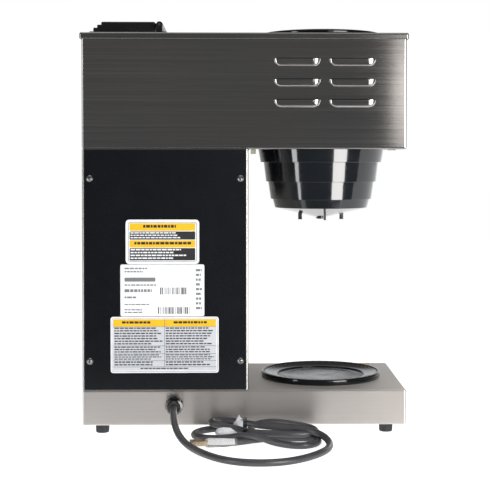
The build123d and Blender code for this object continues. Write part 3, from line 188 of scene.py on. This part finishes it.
def span(made, value, low, high, start=0.3, end=0.7):
    """A value that runs from start to end, turned into one from low to high."""
    return add(
        made, "ShaderNodeMapRange",
        {"Value": value, "From Min": start, "From Max": end, "To Min": low, "To Max": high},
    ).outputs["Result"]


def blend_colours(made, value, first, second):
    """A colour between two, by a value from 0 to 1. A colour may also be another node's output."""
    mix = add(made, "ShaderNodeMix", data_type="RGBA")
    for socket, item in ((mix.inputs[0], value), (mix.inputs[6], first), (mix.inputs[7], second)):
        if isinstance(item, bpy.types.NodeSocket):
            made.node_tree.links.new(item, socket)
        else:
            socket.default_value = (*item, 1)
    return mix.outputs[2]


def multiply(made, first, second):
    return add(made, "ShaderNodeMath", {0: first, 1: second}, operation="MULTIPLY").outputs[0]


def connect(made, output, socket):
    made.node_tree.links.new(output, shader_of(made).inputs[socket])


def bump(made, *layers, rounding=0.0):
    """Surface relief made of one or more (height, strength, depth) layers, over edges rounded to the eye."""
    normal = None
    if rounding:
        normal = add(made, "ShaderNodeBevel", {"Radius": rounding}, samples=6).outputs["Normal"]
    for height, strength, depth in layers:
        node = add(made, "ShaderNodeBump", {"Height": height, "Strength": strength, "Distance": depth})
        if normal is not None:
            made.node_tree.links.new(normal, node.inputs["Normal"])
        normal = node.outputs["Normal"]
    connect(made, normal, "Normal")


def edge_mask(made, radius):
    """1 along sharp edges and 0 on flat stretches."""
    rounded = add(made, "ShaderNodeBevel", {"Radius": radius}, samples=4).outputs["Normal"]
    flat = add(made, "ShaderNodeNewGeometry").outputs["Normal"]
    same = add(made, "ShaderNodeVectorMath", {0: rounded, 1: flat}, operation="DOT_PRODUCT").outputs["Value"]
    return span(made, same, 1.0, 0.0, start=0.86, end=0.99)


def tinted(colour, factor):
    return tuple(min(1.0, c * factor) for c in colour)


# ---------------------------------------------------------------- materials
GRAIN = (3, 700, 700)  # brushing runs along X, or along Y on the side walls
SIDE_GRAIN = (700, 3, 700)
TANGENT = (0.001, 0.04, 1.0)  # reflections are drawn out across the brushing
EDGE_R = {"brushed": 0.0009, "cast": 0.0005, "glossy": 0.0006, "matte": 0.0007}
EDGE_HIGHLIGHT_TINT = {"brushed": 1.7, "cast": 1.35}  # how much paler a metal edge is painted: a painted highlight along the bends
# how much of the painted edge highlight goes into the colour
EDGE_HIGHLIGHT_SHARE = 0.5


def brushed(name, colour, roughness, anisotropy=0.85, contrast=0.16, warmth=0.0):
    """Brushed stainless sheet with long fine scratches, faint stains and edges painted paler as a highlight.
    """
    made = new_material(name, colour, roughness, 1.0, Anisotropic=anisotropy)
    normal = add(made, "ShaderNodeNewGeometry").outputs["Normal"]
    across = add(made, "ShaderNodeSeparateXYZ", {"Vector": normal}).outputs["X"]
    sideways = add(made, "ShaderNodeMath", {0: across}, operation="ABSOLUTE").outputs[0]
    way = add(made, "ShaderNodeMix", data_type="VECTOR")
    made.node_tree.links.new(span(made, sideways, 0.0, 1.0, 0.6, 0.8), way.inputs[0])
    made.node_tree.links.new(place(made, GRAIN), way.inputs[4])
    made.node_tree.links.new(place(made, SIDE_GRAIN), way.inputs[5])
    grain = noise(made, way.outputs[1], 1.0, 5.0, 0.65)
    stains = noise(made, place(made, (1, 1, 1)), 7.0, 3.0, 0.55)
    blotches = noise(made, place(made, (1, 1, 0.6)), 2.6, 2.0, 0.5)
    cool, warm = tinted(colour, 1 - contrast), tinted(colour, 1 + contrast)
    toned = blend_colours(made, span(made, grain, 0, 1), cool, warm)
    tan = (colour[0] * (1 + warmth), colour[1], colour[2] * (1 - warmth))
    toned = blend_colours(made, span(made, blotches, 0.0, 0.5, 0.4, 0.62), toned, tan)
    # painted highlight: the edges' colour is paler than the sheet's, in place of light caught on the bends
    edges = multiply(made, edge_mask(made, EDGE_R["brushed"]), EDGE_HIGHLIGHT_SHARE)
    connect(made, blend_colours(made, edges, toned, tinted(colour, EDGE_HIGHLIGHT_TINT["brushed"])), "Base Color")
    worn = add(
        made, "ShaderNodeMath",
        {0: span(made, grain, roughness * 0.85, roughness * 1.2), 1: span(made, stains, 0.0, 0.05, 0.5, 0.7)},
        operation="ADD",
    ).outputs[0]
    connect(made, worn, "Roughness")
    tangent = add(made, "ShaderNodeCombineXYZ", {"X": TANGENT[0], "Y": TANGENT[1], "Z": TANGENT[2]})
    connect(made, tangent.outputs["Vector"], "Tangent")
    bump(made, (grain, 0.014, 0.0001))
    return made


def cast_metal(name, colour, roughness, cell=None):
    """Plated, turned or drawn metal; cell gives the size of a zinc spangle's flakes."""
    made = new_material(name, colour, roughness, 1.0)
    haze = noise(made, place(made), 260.0, 4.0)
    tone = span(made, haze, 0.0, 1.0)
    if cell:
        flakes = add(made, "ShaderNodeTexVoronoi", {"Vector": place(made), "Scale": 1 / cell})
        tone = add(made, "ShaderNodeSeparateColor", {"Color": flakes.outputs["Color"]}).outputs[0]
    # painted highlight: paler colour along the edges
    edges = multiply(made, edge_mask(made, EDGE_R["cast"]), EDGE_HIGHLIGHT_SHARE)
    base = blend_colours(made, tone, tinted(colour, 0.82), tinted(colour, 1.12))
    connect(made, blend_colours(made, edges, base, tinted(colour, EDGE_HIGHLIGHT_TINT["cast"])), "Base Color")
    connect(made, span(made, haze, roughness * 0.75, roughness * 1.3), "Roughness")
    bump(made, (haze, 0.08, 0.0002))
    return made


def glossy(name, colour, roughness, coat=0.0, orange_peel=0.06, dust=0.04, rounding=0.0):
    """Gloss plastic or enamel with a slight orange peel, a film of dust and rubbed edges."""
    made = new_material(name, colour, roughness, Coat_Weight=coat, Coat_Roughness=0.04)
    peel = noise(made, place(made), 420.0, 2.0)
    smears = noise(made, place(made, (1, 1, 2.2)), 24.0, 4.0, 0.6)
    specks = noise(made, place(made), 1900.0, 1.0)
    dusty = multiply(made, span(made, smears, 0.0, 1.0, 0.45, 0.7), span(made, specks, 0.2, 1.0, 0.4, 0.75))
    grey = tuple(c + dust for c in colour)
    base = blend_colours(made, dusty, colour, grey)
    edges = edge_mask(made, EDGE_R["glossy"])
    rubbed = tuple(min(1.0, c * 1.5 + 0.035) for c in colour)
    connect(made, blend_colours(made, edges, base, rubbed), "Base Color")
    connect(made, span(made, smears, roughness * 0.7, roughness * 1.6 + 0.02), "Roughness")
    bump(made, (peel, orange_peel, 0.0003), (specks, 0.008, 0.0001), rounding=rounding)
    return made


def matte(name, colour, roughness, grain=900.0, depth=0.25, wear=0.05, sheen=0.0, shine=0.5):
    """Rubber, textured paint or dull plastic: a pebbled skin, uneven tone and paler edges."""
    made = new_material(name, colour, roughness, Sheen_Weight=sheen, Specular_IOR_Level=shine)
    pebbles = noise(made, place(made), grain, 3.0, 0.6)
    tone = noise(made, place(made), 40.0, 4.0, 0.6)
    base = blend_colours(made, span(made, tone, 0, 1), tinted(colour, 0.8), tinted(colour, 1.25))
    base = blend_colours(made, span(made, pebbles, 0.0, 0.35, 0.5, 0.75), base, tinted(colour, 2.0))
    edges = edge_mask(made, EDGE_R["matte"])
    connect(made, blend_colours(made, edges, base, tuple(c + wear for c in colour)), "Base Color")
    connect(made, span(made, pebbles, roughness * 0.85, min(1.0, roughness * 1.15)), "Roughness")
    bump(made, (pebbles, depth, 0.0002))
    return made


def printed(name, colour, roughness=0.38, fibre=0.05):
    """Printed film or paper: faint fibres and a slightly uneven ink."""
    made = new_material(name, colour, roughness)
    fibres = noise(made, place(made, (1, 1, 0.4)), 1500.0, 2.0)
    ink = noise(made, place(made), 120.0, 3.0)
    base = blend_colours(made, span(made, ink, 0, 1), tinted(colour, 1 - fibre), tinted(colour, 1 + fibre))
    connect(made, base, "Base Color")
    connect(made, span(made, ink, roughness * 0.9, roughness * 1.15), "Roughness")
    bump(made, (fibres, fibre, 0.0001))
    return made


def translucent(name, colour, roughness, weight, ior=1.45):
    """Cloudy silicone or clear-white moulding with light passing through."""
    made = new_material(name, colour, roughness, Transmission_Weight=weight, IOR=ior)
    cloud = noise(made, place(made), 90.0, 3.0)
    connect(made, blend_colours(made, span(made, cloud, 0, 1), tinted(colour, 0.92), colour), "Base Color")
    connect(made, span(made, cloud, roughness * 0.8, roughness * 1.2), "Roughness")
    bump(made, (cloud, 0.1, 0.0003))
    return made


LOOKS = {
    # The brewer's one stainless steel in lit and shaded copies: base_steel is painted paler as a lit copy,
    # head_steel, wrap_steel and cap_steel darker as shaded copies.
    "base_steel": brushed("base_steel", (0.80, 0.76, 0.73), 0.36, 0.95, 0.04, 0.03),
    "wrap_steel": brushed("wrap_steel", (0.42, 0.41, 0.39), 0.22, 0.8, 0.10, 0.02),
    "head_steel": brushed("head_steel", (0.42, 0.41, 0.405), 0.13, 0.95, 0.26, 0.06),
    "cap_steel": brushed("cap_steel", (0.34, 0.34, 0.335), 0.20, 0.8, 0.18, 0.02),
    "galvanized": cast_metal("galvanized", (0.55, 0.56, 0.57), 0.38, cell=0.009),
    "zinc": cast_metal("zinc", (0.34, 0.34, 0.34), 0.22),
    "stainless": brushed("stainless", (0.58, 0.575, 0.56), 0.25, 0.5, 0.08, 0.0),
    "brass_fittings": cast_metal("brass_fittings", (0.68, 0.49, 0.20), 0.28),
    "copper": cast_metal("copper", (0.66, 0.33, 0.20), 0.26),
    "brass_prongs": cast_metal("brass_prongs", (0.60, 0.50, 0.36), 0.30),
    "element_foil": cast_metal("element_foil", (0.60, 0.60, 0.60), 0.35),
    "enamel_black": glossy(
        "enamel_black", (0.004, 0.005, 0.006), 0.08, coat=0.2, orange_peel=0.02, dust=0.003
    ),
    "enamel_dark": glossy(
        "enamel_dark", (0.030, 0.036, 0.042), 0.20, coat=0.1, orange_peel=0.01, dust=0.006
    ),
    "funnel_black": glossy(
        "funnel_black", (0.004, 0.006, 0.009), 0.09, coat=1.0, orange_peel=0.015, dust=0.004, rounding=0.0012
    ),
    "plastic_black": glossy("plastic_black", (0.010, 0.010, 0.011), 0.18, orange_peel=0.05, dust=0.02),
    "nylon_black": glossy("nylon_black", (0.010, 0.011, 0.013), 0.16, coat=0.3, orange_peel=0.04, dust=0.01),
    "rocker_red": glossy("rocker_red", (0.46, 0.018, 0.014), 0.20, dust=0.02),
    "rocker_black": glossy("rocker_black", (0.014, 0.014, 0.015), 0.22, dust=0.02),
    "cover_black": matte("cover_black", (0.003, 0.004, 0.006), 0.30, 700.0, 0.20, 0.08, shine=0.3),
    "panel_black": matte("panel_black", (0.022, 0.022, 0.024), 0.45, 900.0, 0.10),
    "rubber_black": matte("rubber_black", (0.020, 0.022, 0.026), 0.58, 1200.0, 0.25, 0.03, sheen=0.1),
    "cord_jacket": matte("cord_jacket", (0.058, 0.058, 0.063), 0.36, 600.0, 0.12, 0.0, shine=0.7),
    "nylon_grey": matte("nylon_grey", (0.30, 0.31, 0.25), 0.45, 800.0, 0.12),
    "phenolic": matte("phenolic", (0.055, 0.032, 0.022), 0.40, 500.0, 0.15),
    "wire_insulation": matte("wire_insulation", (0.045, 0.045, 0.055), 0.45, 300.0, 0.1),
    "silicone_red": matte("silicone_red", (0.42, 0.08, 0.045), 0.55, 700.0, 0.1),
    "label_film": printed("label_film", (0.88, 0.90, 0.92)),
    "decal_amber": printed("decal_amber", (0.78, 0.42, 0.03)),
    "paper_white": printed("paper_white", (0.90, 0.92, 0.98), 0.7, 0.08),
    "silicone_clear": translucent("silicone_clear", (0.80, 0.80, 0.76), 0.35, 0.35),
    "plug_white": translucent("plug_white", (0.97, 0.97, 0.97), 0.14, 0.85, 1.25),
}


def dress_cad_nodes():
    """Every CAD node gets the look of its own material slot."""
    for subpart in record["subparts"]:
        mesh = nodes[subpart["node"]].data
        mesh.materials.clear()
        mesh.materials.append(LOOKS[subpart["material_slot"]])


dress_cad_nodes()
cord.data.materials.append(LOOKS["cord_jacket"])


# ---------------------------------------------------------------- mesh helpers
def mesh_piece(name, bm, looks, smooth=True, body="brewer"):
    """Turns a bmesh into a piece that rides on a body, with the looks as its materials."""
    mesh = bpy.data.meshes.new(name)
    bm.normal_update()
    bm.to_mesh(mesh)
    bm.free()
    for look in looks:
        mesh.materials.append(look if isinstance(look, bpy.types.Material) else LOOKS[look])
    for face in mesh.polygons:
        face.use_smooth = smooth
    piece = bpy.data.objects.new(name, mesh)
    bpy.context.scene.collection.objects.link(piece)
    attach(piece, body)
    return piece


def bridge(bm, first, second, index=0):
    """Faces between two closed loops of the same number of vertices."""
    count = len(first)
    for i in range(count):
        j = (i + 1) % count
        bm.faces.new((first[i], first[j], second[j], second[i])).material_index = index


# ---------------------------------------------------------------- warmer rings
CRIMPS = 54
CRIMP_STEPS = 5
RING_PROFILE = [  # radius and height; the rim's crimps are on the points marked 1
    (0.0604, 0.0002, 0), (0.0790, 0.0001, 0), (0.0790, 0.0052, 0), (0.0789, 0.0062, 0), (0.0784, 0.0070, 0),
    (0.0777, 0.0075, 0), (0.0768, 0.0076, 0), (0.0760, 0.0075, 1), (0.0753, 0.0072, 1), (0.0745, 0.0064, 0),
    (0.0700, 0.0052, 0), (0.0650, 0.0042, 0), (0.0618, 0.0037, 0), (0.0600, 0.0035, 0), (0.0586, 0.0034, 0),
    (0.0576, 0.0030, 0), (0.0572, 0.0024, 0), (0.0572, 0.0019, 0), (0.0604, 0.0019, 0),
]
CRIMP_DEPTH = 0.0011
CRIMP_LEAN = 0.6  # inward part of a crimp, for each unit of its depth


def make_warmer_ring(level):
    """Enamelled retaining ring whose inner rim is crimped all the way round."""
    low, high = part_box(f"{level}_warmer_ring")
    centre = (low + high) / 2
    bm = bmesh.new()
    loops = []
    steps = CRIMPS * CRIMP_STEPS
    for radius, height, crimped in RING_PROFILE:
        loop = []
        for i in range(steps):
            turn = 2 * math.pi * i / steps
            notch = crimped * CRIMP_DEPTH * (i % CRIMP_STEPS in (0, 1))
            r = radius - notch * CRIMP_LEAN
            loop.append(bm.verts.new((
                centre.x + r * math.cos(turn), centre.y + r * math.sin(turn), low.z + height - notch
            )))
        loops.append(loop)
    for first, second in zip(loops, loops[1:] + loops[:1]):
        bridge(bm, first, second)
    bmesh.ops.recalc_face_normals(bm, faces=bm.faces)
    ring = mesh_piece(f"{level}_ring_enamelled", bm, ["enamel_black"])
    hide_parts(f"{level}_warmer_ring")


for level in ("lower", "upper"):
    make_warmer_ring(level)

# ---------------------------------------------------------------- labels on the back cover
LABEL_T = 0.0003
FILM_GAP = 0.00002  # between the cover and the film's cut edge
INK_STEP = 0.00003  # each print layer stands this far above the one below
WHITE, INK, AMBER, SILVER, GREY = range(5)
INKS = [
    LOOKS["label_film"],
    printed("label_ink", (0.022, 0.020, 0.022), 0.42),
    printed("label_amber", (0.90, 0.52, 0.020), 0.36),
    printed("label_silver", (0.62, 0.64, 0.68), 0.34, 0.03),
    printed("label_grey", (0.20, 0.20, 0.21), 0.42),
]
CORNER_STEPS = 6
WORDS = (0.0022, 0.0062)  # shortest and longest block of small print
WORD_GAP = 0.0009
WORD_SPILL = 0.001  # how far a last word may pass its row's end
ROW_SPAN = (0.62, 0.14)  # bottom and top of a word, in parts of the row's pitch
BAR_WIDTHS = (0.0004, 0.0008, 0.0013)
BAR_GAPS = (0.0005, 0.0009, 0.0016)
LABEL_BOXES = {  # x span and z span
    "caution": ((0.0567, 0.1486), (0.2154, 0.2710)),
    "rating": ((0.0504, 0.1552), (0.1500, 0.2149)),
    "notice": ((0.0325, 0.1675), (0.0790, 0.1494)),
}
CAUTION_PANELS = (  # z span of the amber bar and of the dark panel, rows, the heading's half width
    ((0.2570, 0.2666), (0.2460, 0.2562), 3, 0.024),
    ((0.2362, 0.2452), (0.2200, 0.2354), 4, 0.035),
)
RATING_PRINT = (  # x span, z span, rows
    ((0.118, 0.150), (0.2035, 0.2115), 2),
    ((0.094, 0.150), (0.1870, 0.1905), 1),
    ((0.112, 0.150), (0.1775, 0.1850), 1),
    ((0.130, 0.150), (0.1710, 0.1755), 1),
    ((0.108, 0.150), (0.1630, 0.1660), 1),
    ((0.122, 0.150), (0.1530, 0.1595), 2),
    ((0.0535, 0.0610), (0.1565, 0.2100), 9),
)
RATING_HEADING = ((0.1115, 0.1500), (0.1935, 0.1985))
RATING_CODES = (((0.0730, 0.1045), (0.1775, 0.1860)), ((0.0690, 0.1070), (0.1530, 0.1615)))
NOTICE_SPLIT = 0.1003  # x of the line between the columns
NOTICE_RULINGS = (0.1368, 0.1130, 0.1030, 0.0943, 0.0866)
NOTICE_ROWS = (7, 3, 3, 2)
NOTICE_AMBER = (0.1372, 0.1462)
NOTICE_HEADING = ((-0.021, 0.021), (0.1388, 0.1446))  # x from the column's middle, z
NOTICE_FOOT = ((-0.03, 0.03), (0.0828, 0.0858))  # x from the split, z
LINE_HALF = 0.0002


def patch(bm, x, z, layer, ink, radius=0.0):
    """A flat rounded panel of one ink on the cover, facing back."""
    y = COVER_Y + LABEL_T + layer * INK_STEP
    corners = []
    for cx, cz, start in ((x[1], z[1], 0), (x[0], z[1], 90), (x[0], z[0], 180), (x[1], z[0], 270)):
        middle = (cx - math.copysign(radius, cx - sum(x) / 2), cz - math.copysign(radius, cz - sum(z) / 2))
        for k in range(CORNER_STEPS if radius else 1):
            turn = math.radians(start + 90 * k / (CORNER_STEPS - 1))
            corners.append((middle[0] + radius * math.cos(turn), middle[1] + radius * math.sin(turn)))
    face = bm.faces.new([bm.verts.new((px, y, pz)) for px, pz in reversed(corners)])
    face.material_index = ink
    return face


def label_base(bm, x, z, radius, ink):
    """The label's own film, with its cut edge."""
    face = patch(bm, x, z, 0, ink, radius)
    skirt = bmesh.ops.extrude_edge_only(bm, edges=list(face.edges))["geom"]
    for item in skirt:
        if isinstance(item, bmesh.types.BMVert):
            item.co.y = COVER_Y + FILM_GAP
        if isinstance(item, bmesh.types.BMFace):
            item.material_index = ink


def greek_rows(bm, x, z, rows, ink, layer, chance, full=0.9):
    """Rows of short blocks that stand for small print, their lengths uneven."""
    pitch = (z[1] - z[0]) / rows
    for row in range(rows):
        top = z[1] - row * pitch
        at = x[1]
        end = x[0] + (x[1] - x[0]) * (1 - chance.uniform(full * 0.75, full))
        while at > end:
            word = min(chance.uniform(*WORDS), at - end + WORD_SPILL)
            patch(bm, (at - word, at), (top - pitch * ROW_SPAN[0], top - pitch * ROW_SPAN[1]), layer, ink)
            at -= word + WORD_GAP


def bars(bm, x, z, layer, chance):
    """A row of upright bars of uneven width."""
    at = x[0]
    while at < x[1]:
        wide = chance.choice(BAR_WIDTHS)
        patch(bm, (at, at + wide), z, layer, INK)
        at += wide + chance.choice(BAR_GAPS)


def inset(box, amount):
    return (box[0] + amount, box[1] - amount)


def make_caution_label(chance):
    """White-edged label with two amber bars over two dark panels."""
    x, z = LABEL_BOXES["caution"]
    bm = bmesh.new()
    label_base(bm, x, z, 0.0046, WHITE)
    patch(bm, inset(x, 0.0031), inset(z, 0.0031), 1, INK, 0.0032)
    patch(bm, inset(x, 0.0036), inset(z, 0.0036), 2, WHITE, 0.0028)
    for amber, dark, rows, heading in CAUTION_PANELS:
        wide = inset(x, 0.0050)
        patch(bm, wide, amber, 3, AMBER, 0.0012)
        patch(bm, wide, dark, 3, INK, 0.0012)
        middle = sum(x) / 2
        greek_rows(bm, (middle - heading, middle + heading), inset(amber, 0.0012), 1, INK, 4, chance, 1.0)
        greek_rows(bm, inset(wide, 0.0012), inset(dark, 0.0006), rows, WHITE, 4, chance)
    return mesh_piece("caution_label", bm, INKS, smooth=False)


def make_rating_label(chance):
    """Plain white label with grey rows and two bar codes."""
    x, z = LABEL_BOXES["rating"]
    bm = bmesh.new()
    label_base(bm, x, z, 0.0022, WHITE)
    for row_x, row_z, rows in RATING_PRINT:
        greek_rows(bm, row_x, row_z, rows, GREY, 1, chance)
    patch(bm, *RATING_HEADING, 1, GREY, 0.0012)
    for code_x, code_z in RATING_CODES:
        bars(bm, code_x, code_z, 1, chance)
    return mesh_piece("rating_label", bm, INKS, smooth=False)


def make_notice_label(chance):
    """Silver label with an amber heading, ruled into two columns of small print."""
    x, z = LABEL_BOXES["notice"]
    bm = bmesh.new()
    label_base(bm, x, z, 0.0032, WHITE)
    patch(bm, inset(x, 0.0015), inset(z, 0.0015), 1, INK, 0.0024)
    patch(bm, inset(x, 0.0019), inset(z, 0.0019), 2, WHITE, 0.0020)
    patch(bm, inset(x, 0.0029), inset(z, 0.0029), 3, SILVER, 0.0008)
    columns = (
        (x[0] + 0.0035, NOTICE_SPLIT - 2 * LINE_HALF),
        (NOTICE_SPLIT + 2 * LINE_HALF, x[1] - 0.0035),
    )
    for column in columns:
        patch(bm, column, NOTICE_AMBER, 4, AMBER)
        heading = [sum(column) / 2 + side for side in NOTICE_HEADING[0]]
        greek_rows(bm, heading, NOTICE_HEADING[1], 1, INK, 5, chance, 1.0)
        for top, low, rows in zip(NOTICE_RULINGS, NOTICE_RULINGS[1:], NOTICE_ROWS):
            greek_rows(bm, inset(column, 0.0012), (low + 0.0006, top - 0.0004), rows, INK, 4, chance, 0.97)
    foot = [NOTICE_SPLIT + side for side in NOTICE_FOOT[0]]
    greek_rows(bm, foot, NOTICE_FOOT[1], 1, INK, 4, chance, 1.0)
    for height in NOTICE_RULINGS:
        patch(bm, inset(x, 0.0032), (height - LINE_HALF, height + LINE_HALF), 4, INK)
    patch(bm, (NOTICE_SPLIT - LINE_HALF, NOTICE_SPLIT + LINE_HALF), (NOTICE_RULINGS[-1], 0.1464), 5, INK)
    return mesh_piece("notice_label", bm, INKS, smooth=False)


def make_labels():
    chance = random.Random(SEED)
    labels = [make_caution_label(chance), make_rating_label(chance), make_notice_label(chance)]
    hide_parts("back_labels")


make_labels()


# ---------------------------------------------------------------- plug and paper tag
PLUG_SECTIONS = [  # distance from the cord's end, half width, half height, squareness
    (0.000, 0.0046, 0.0045, 2.0), (0.003, 0.0052, 0.0047, 2.0), (0.006, 0.0048, 0.0045, 2.0),
    (0.009, 0.0057, 0.0047, 2.1), (0.012, 0.0070, 0.0047, 2.3), (0.016, 0.0087, 0.0048, 2.6),
    (0.020, 0.0094, 0.0048, 3.0), (0.024, 0.0091, 0.0047, 3.2), (0.028, 0.0093, 0.0048, 3.4),
    (0.033, 0.0095, 0.0048, 3.6), (0.0385, 0.0095, 0.0048, 3.8), (0.0400, 0.0090, 0.0044, 3.8),
]
RING_STEPS = 40
NECK_SWING = 0.0045  # sideways, at the cord's end
NECK_LENGTH = 0.018


def superellipse(turn, half_width, half_height, power):
    c, s = math.cos(turn), math.sin(turn)
    return (
        half_width * math.copysign(abs(c) ** (2 / power), c),
        half_height * math.copysign(abs(s) ** (2 / power), s),
    )


def make_plug():
    """Moulded plug lying flat, its neck ribbed where the cord enters."""
    low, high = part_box("cord_plug")
    face_x, middle_z = high.x, (low.z + high.z) / 2
    start = face_x - PLUG_SECTIONS[-1][0]
    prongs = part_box("plug_prongs")
    middle_y = (prongs[0].y + prongs[1].y) / 2
    bm = bmesh.new()
    loops = []
    for along, half_width, half_height, power in PLUG_SECTIONS:
        loop = []
        swing = NECK_SWING * (1 - min(1.0, along / NECK_LENGTH)) ** 2
        for i in range(RING_STEPS):
            y, z = superellipse(2 * math.pi * i / RING_STEPS, half_width, half_height, power)
            loop.append(bm.verts.new((start + along, middle_y - swing + y, middle_z + z)))
        loops.append(loop)
    for first, second in zip(loops, loops[1:]):
        bridge(bm, first, second)
    bm.faces.new(loops[0])
    bm.faces.new(loops[-1])
    bmesh.ops.recalc_face_normals(bm, faces=bm.faces)
    plug = mesh_piece("moulded_plug", bm, ["plug_white"])
    rounding = plug.modifiers.new("rounding", "SUBSURF")
    rounding.levels = rounding.render_levels = 1
    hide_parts("cord_plug")
    return plug


TAG_LEAVES = [  # distance in front of the tag's place, and outline in x and z from the tag's low corner
    (0.0025, (
        (-0.0075, 0.0), (0.0020, -0.0006), (0.0100, 0.0), (0.0104, 0.0080), (0.0066, 0.0128),
        (0.0030, 0.0188), (0.0012, 0.0152), (-0.0008, 0.0146), (-0.0056, 0.0140), (-0.0078, 0.0062),
    )),
    (0.0135, (
        (0.0060, -0.0020), (0.0160, -0.0040), (0.0290, -0.0050), (0.0330, -0.0010), (0.0300, 0.0042),
        (0.0220, 0.0056), (0.0130, 0.0050), (0.0062, 0.0034),
    )),
]

LEAF_T = 0.00025
LEAF_RISE = 0.0006  # middle of a leaf, in front of its rim


def make_tag():
    """Blank paper tag in two curled leaves, tucked between the hank's turns."""
    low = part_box("cord_tag")[0]
    bm = bmesh.new()
    for out, outline in TAG_LEAVES:
        rim = []
        for x, z in outline:
            curl = 0.0010 * math.sin(240 * x) - 3.0 * z * z
            rim.append(bm.verts.new((low.x + x, low.y + out + curl, low.z + z)))
        middle_x, middle_z = (sum(axis) / len(outline) for axis in zip(*outline))
        middle = bm.verts.new((low.x + middle_x, low.y + out + LEAF_RISE, low.z + middle_z))
        for a, b in zip(rim, rim[1:] + rim[:1]):
            bm.faces.new((a, b, middle))
    bmesh.ops.recalc_face_normals(bm, faces=bm.faces)
    tag = mesh_piece("paper_tag", bm, ["paper_white"])
    leaf = tag.modifiers.new("leaf", "SOLIDIFY")
    leaf.thickness = LEAF_T
    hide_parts("cord_tag")
    return tag


plug = make_plug()
tag = make_tag()


# ---------------------------------------------------------------- studio
FLOOR_X = (-3.0, 3.0)
FLOOR_Y = (-3.5, 0.42)
FLOOR_COLOUR = (0.86, 0.86, 0.86)
FLOOR_GLOW = (0.62, 0.90)  # as a light on the brewer, and to the eye
SOFTBOXES = {  # place, size, power in watts, colour
    "key_right": ((-1.22, 1.72, 0.10), (0.90, 1.6), 46, (1.0, 0.99, 0.97)),
    "key_left": ((1.56, 1.18, 0.10), (0.42, 1.6), 12, (0.95, 0.97, 1.0)),
    "top": ((0.0, -0.2, 2.6), (2.4, 2.4), 16, (1.0, 1.0, 1.0)),
    "disc": ((-0.758, BACK_Y + 2.0, 0.544), (0.66, 0.66), 2.6, (1.0, 0.95, 0.90)),
}
AIM = Vector((0, 0, 0.25))
ROOM_DIM = 0.13  # the room behind the camera and overhead
ROOM_PALE = 0.90  # the backdrop beyond the brewer's front
FRONT_FADE = (-0.90, -0.55)  # the Y part of a direction, from pale to dim
HIGH_FADE = (0.24, 0.38)  # the Z part of a direction, from pale to dim
ROOM_COLOUR = (0.98, 0.99, 1.0, 1)


def make_floor():
    """Plain pale floor."""
    bm = bmesh.new()
    corners = [(0, 0), (1, 0), (1, 1), (0, 1)]
    bm.faces.new([bm.verts.new((FLOOR_X[i], FLOOR_Y[j], 0)) for i, j in corners])
    mesh = bpy.data.meshes.new("floor")
    bm.to_mesh(mesh)
    bm.free()
    made = new_material("floor", FLOOR_COLOUR, 0.6, Emission_Color=(1, 1, 1, 1))
    haze = noise(made, place(made), 3.0)
    tone = blend_colours(made, span(made, haze, 0, 1), tinted(FLOOR_COLOUR, 0.99), FLOOR_COLOUR)
    connect(made, tone, "Base Color")
    seen = add(made, "ShaderNodeLightPath").outputs["Is Camera Ray"]
    connect(made, span(made, seen, FLOOR_GLOW[0], FLOOR_GLOW[1]), "Emission Strength")
    mesh.materials.append(made)
    floor = bpy.data.objects.new("floor", mesh)
    bpy.context.scene.collection.objects.link(floor)


def make_softbox(name, at, size, power, colour):
    """A soft light of some width and height, aimed at the brewer's middle."""
    data = bpy.data.lights.new(name, "AREA")
    data.shape = "ELLIPSE" if name == "disc" else "RECTANGLE"
    data.size, data.size_y = size
    data.energy = power
    data.color = colour
    light = bpy.data.objects.new(name, data)
    light.location = at
    way = AIM - Vector(at)
    if name == "disc":
        way = Vector((0, -1, 0))
    light.rotation_euler = way.to_track_quat("-Z", "Y").to_euler()
    light.visible_camera = False
    bpy.context.scene.collection.objects.link(light)


def make_world():
    """White to the eye; as light, pale beyond the brewer's front and dim behind the camera."""
    world = bpy.data.worlds.new("studio")
    world.use_nodes = True
    tree = world.node_tree
    tree.nodes.clear()
    way = tree.nodes.new("ShaderNodeTexCoord")
    parts = tree.nodes.new("ShaderNodeSeparateXYZ")
    fades = []
    for start, end in (FRONT_FADE, HIGH_FADE):
        fade = tree.nodes.new("ShaderNodeMapRange")
        fade.inputs["From Min"].default_value, fade.inputs["From Max"].default_value = start, end
        fade.inputs["To Min"].default_value, fade.inputs["To Max"].default_value = 1.0, 0.0
        fades.append(fade)
    both = tree.nodes.new("ShaderNodeMath")
    both.operation = "MULTIPLY"
    level = tree.nodes.new("ShaderNodeMapRange")
    level.inputs["To Min"].default_value, level.inputs["To Max"].default_value = ROOM_DIM, ROOM_PALE
    room = tree.nodes.new("ShaderNodeBackground")
    seen = tree.nodes.new("ShaderNodeBackground")
    room.inputs["Color"].default_value = ROOM_COLOUR
    ray = tree.nodes.new("ShaderNodeLightPath")
    mix = tree.nodes.new("ShaderNodeMixShader")
    out = tree.nodes.new("ShaderNodeOutputWorld")
    seen.inputs["Color"].default_value = (1, 1, 1, 1)
    for start, end in (
        (way.outputs["Generated"], parts.inputs["Vector"]), (parts.outputs["Y"], fades[0].inputs["Value"]),
        (parts.outputs["Z"], fades[1].inputs["Value"]), (fades[0].outputs["Result"], both.inputs[0]),
        (fades[1].outputs["Result"], both.inputs[1]), (both.outputs[0], level.inputs["Value"]),
        (level.outputs["Result"], room.inputs["Strength"]), (ray.outputs["Is Camera Ray"], mix.inputs["Fac"]),
        (room.outputs["Background"], mix.inputs[1]), (seen.outputs["Background"], mix.inputs[2]),
        (mix.outputs["Shader"], out.inputs["Surface"]),
    ):
        tree.links.new(start, end)
    bpy.context.scene.world = world


make_floor()
for name, (at, size, power, colour) in SOFTBOXES.items():
    make_softbox(name, at, size, power, colour)
make_world()
bpy.context.scene.view_settings.view_transform = "Standard"
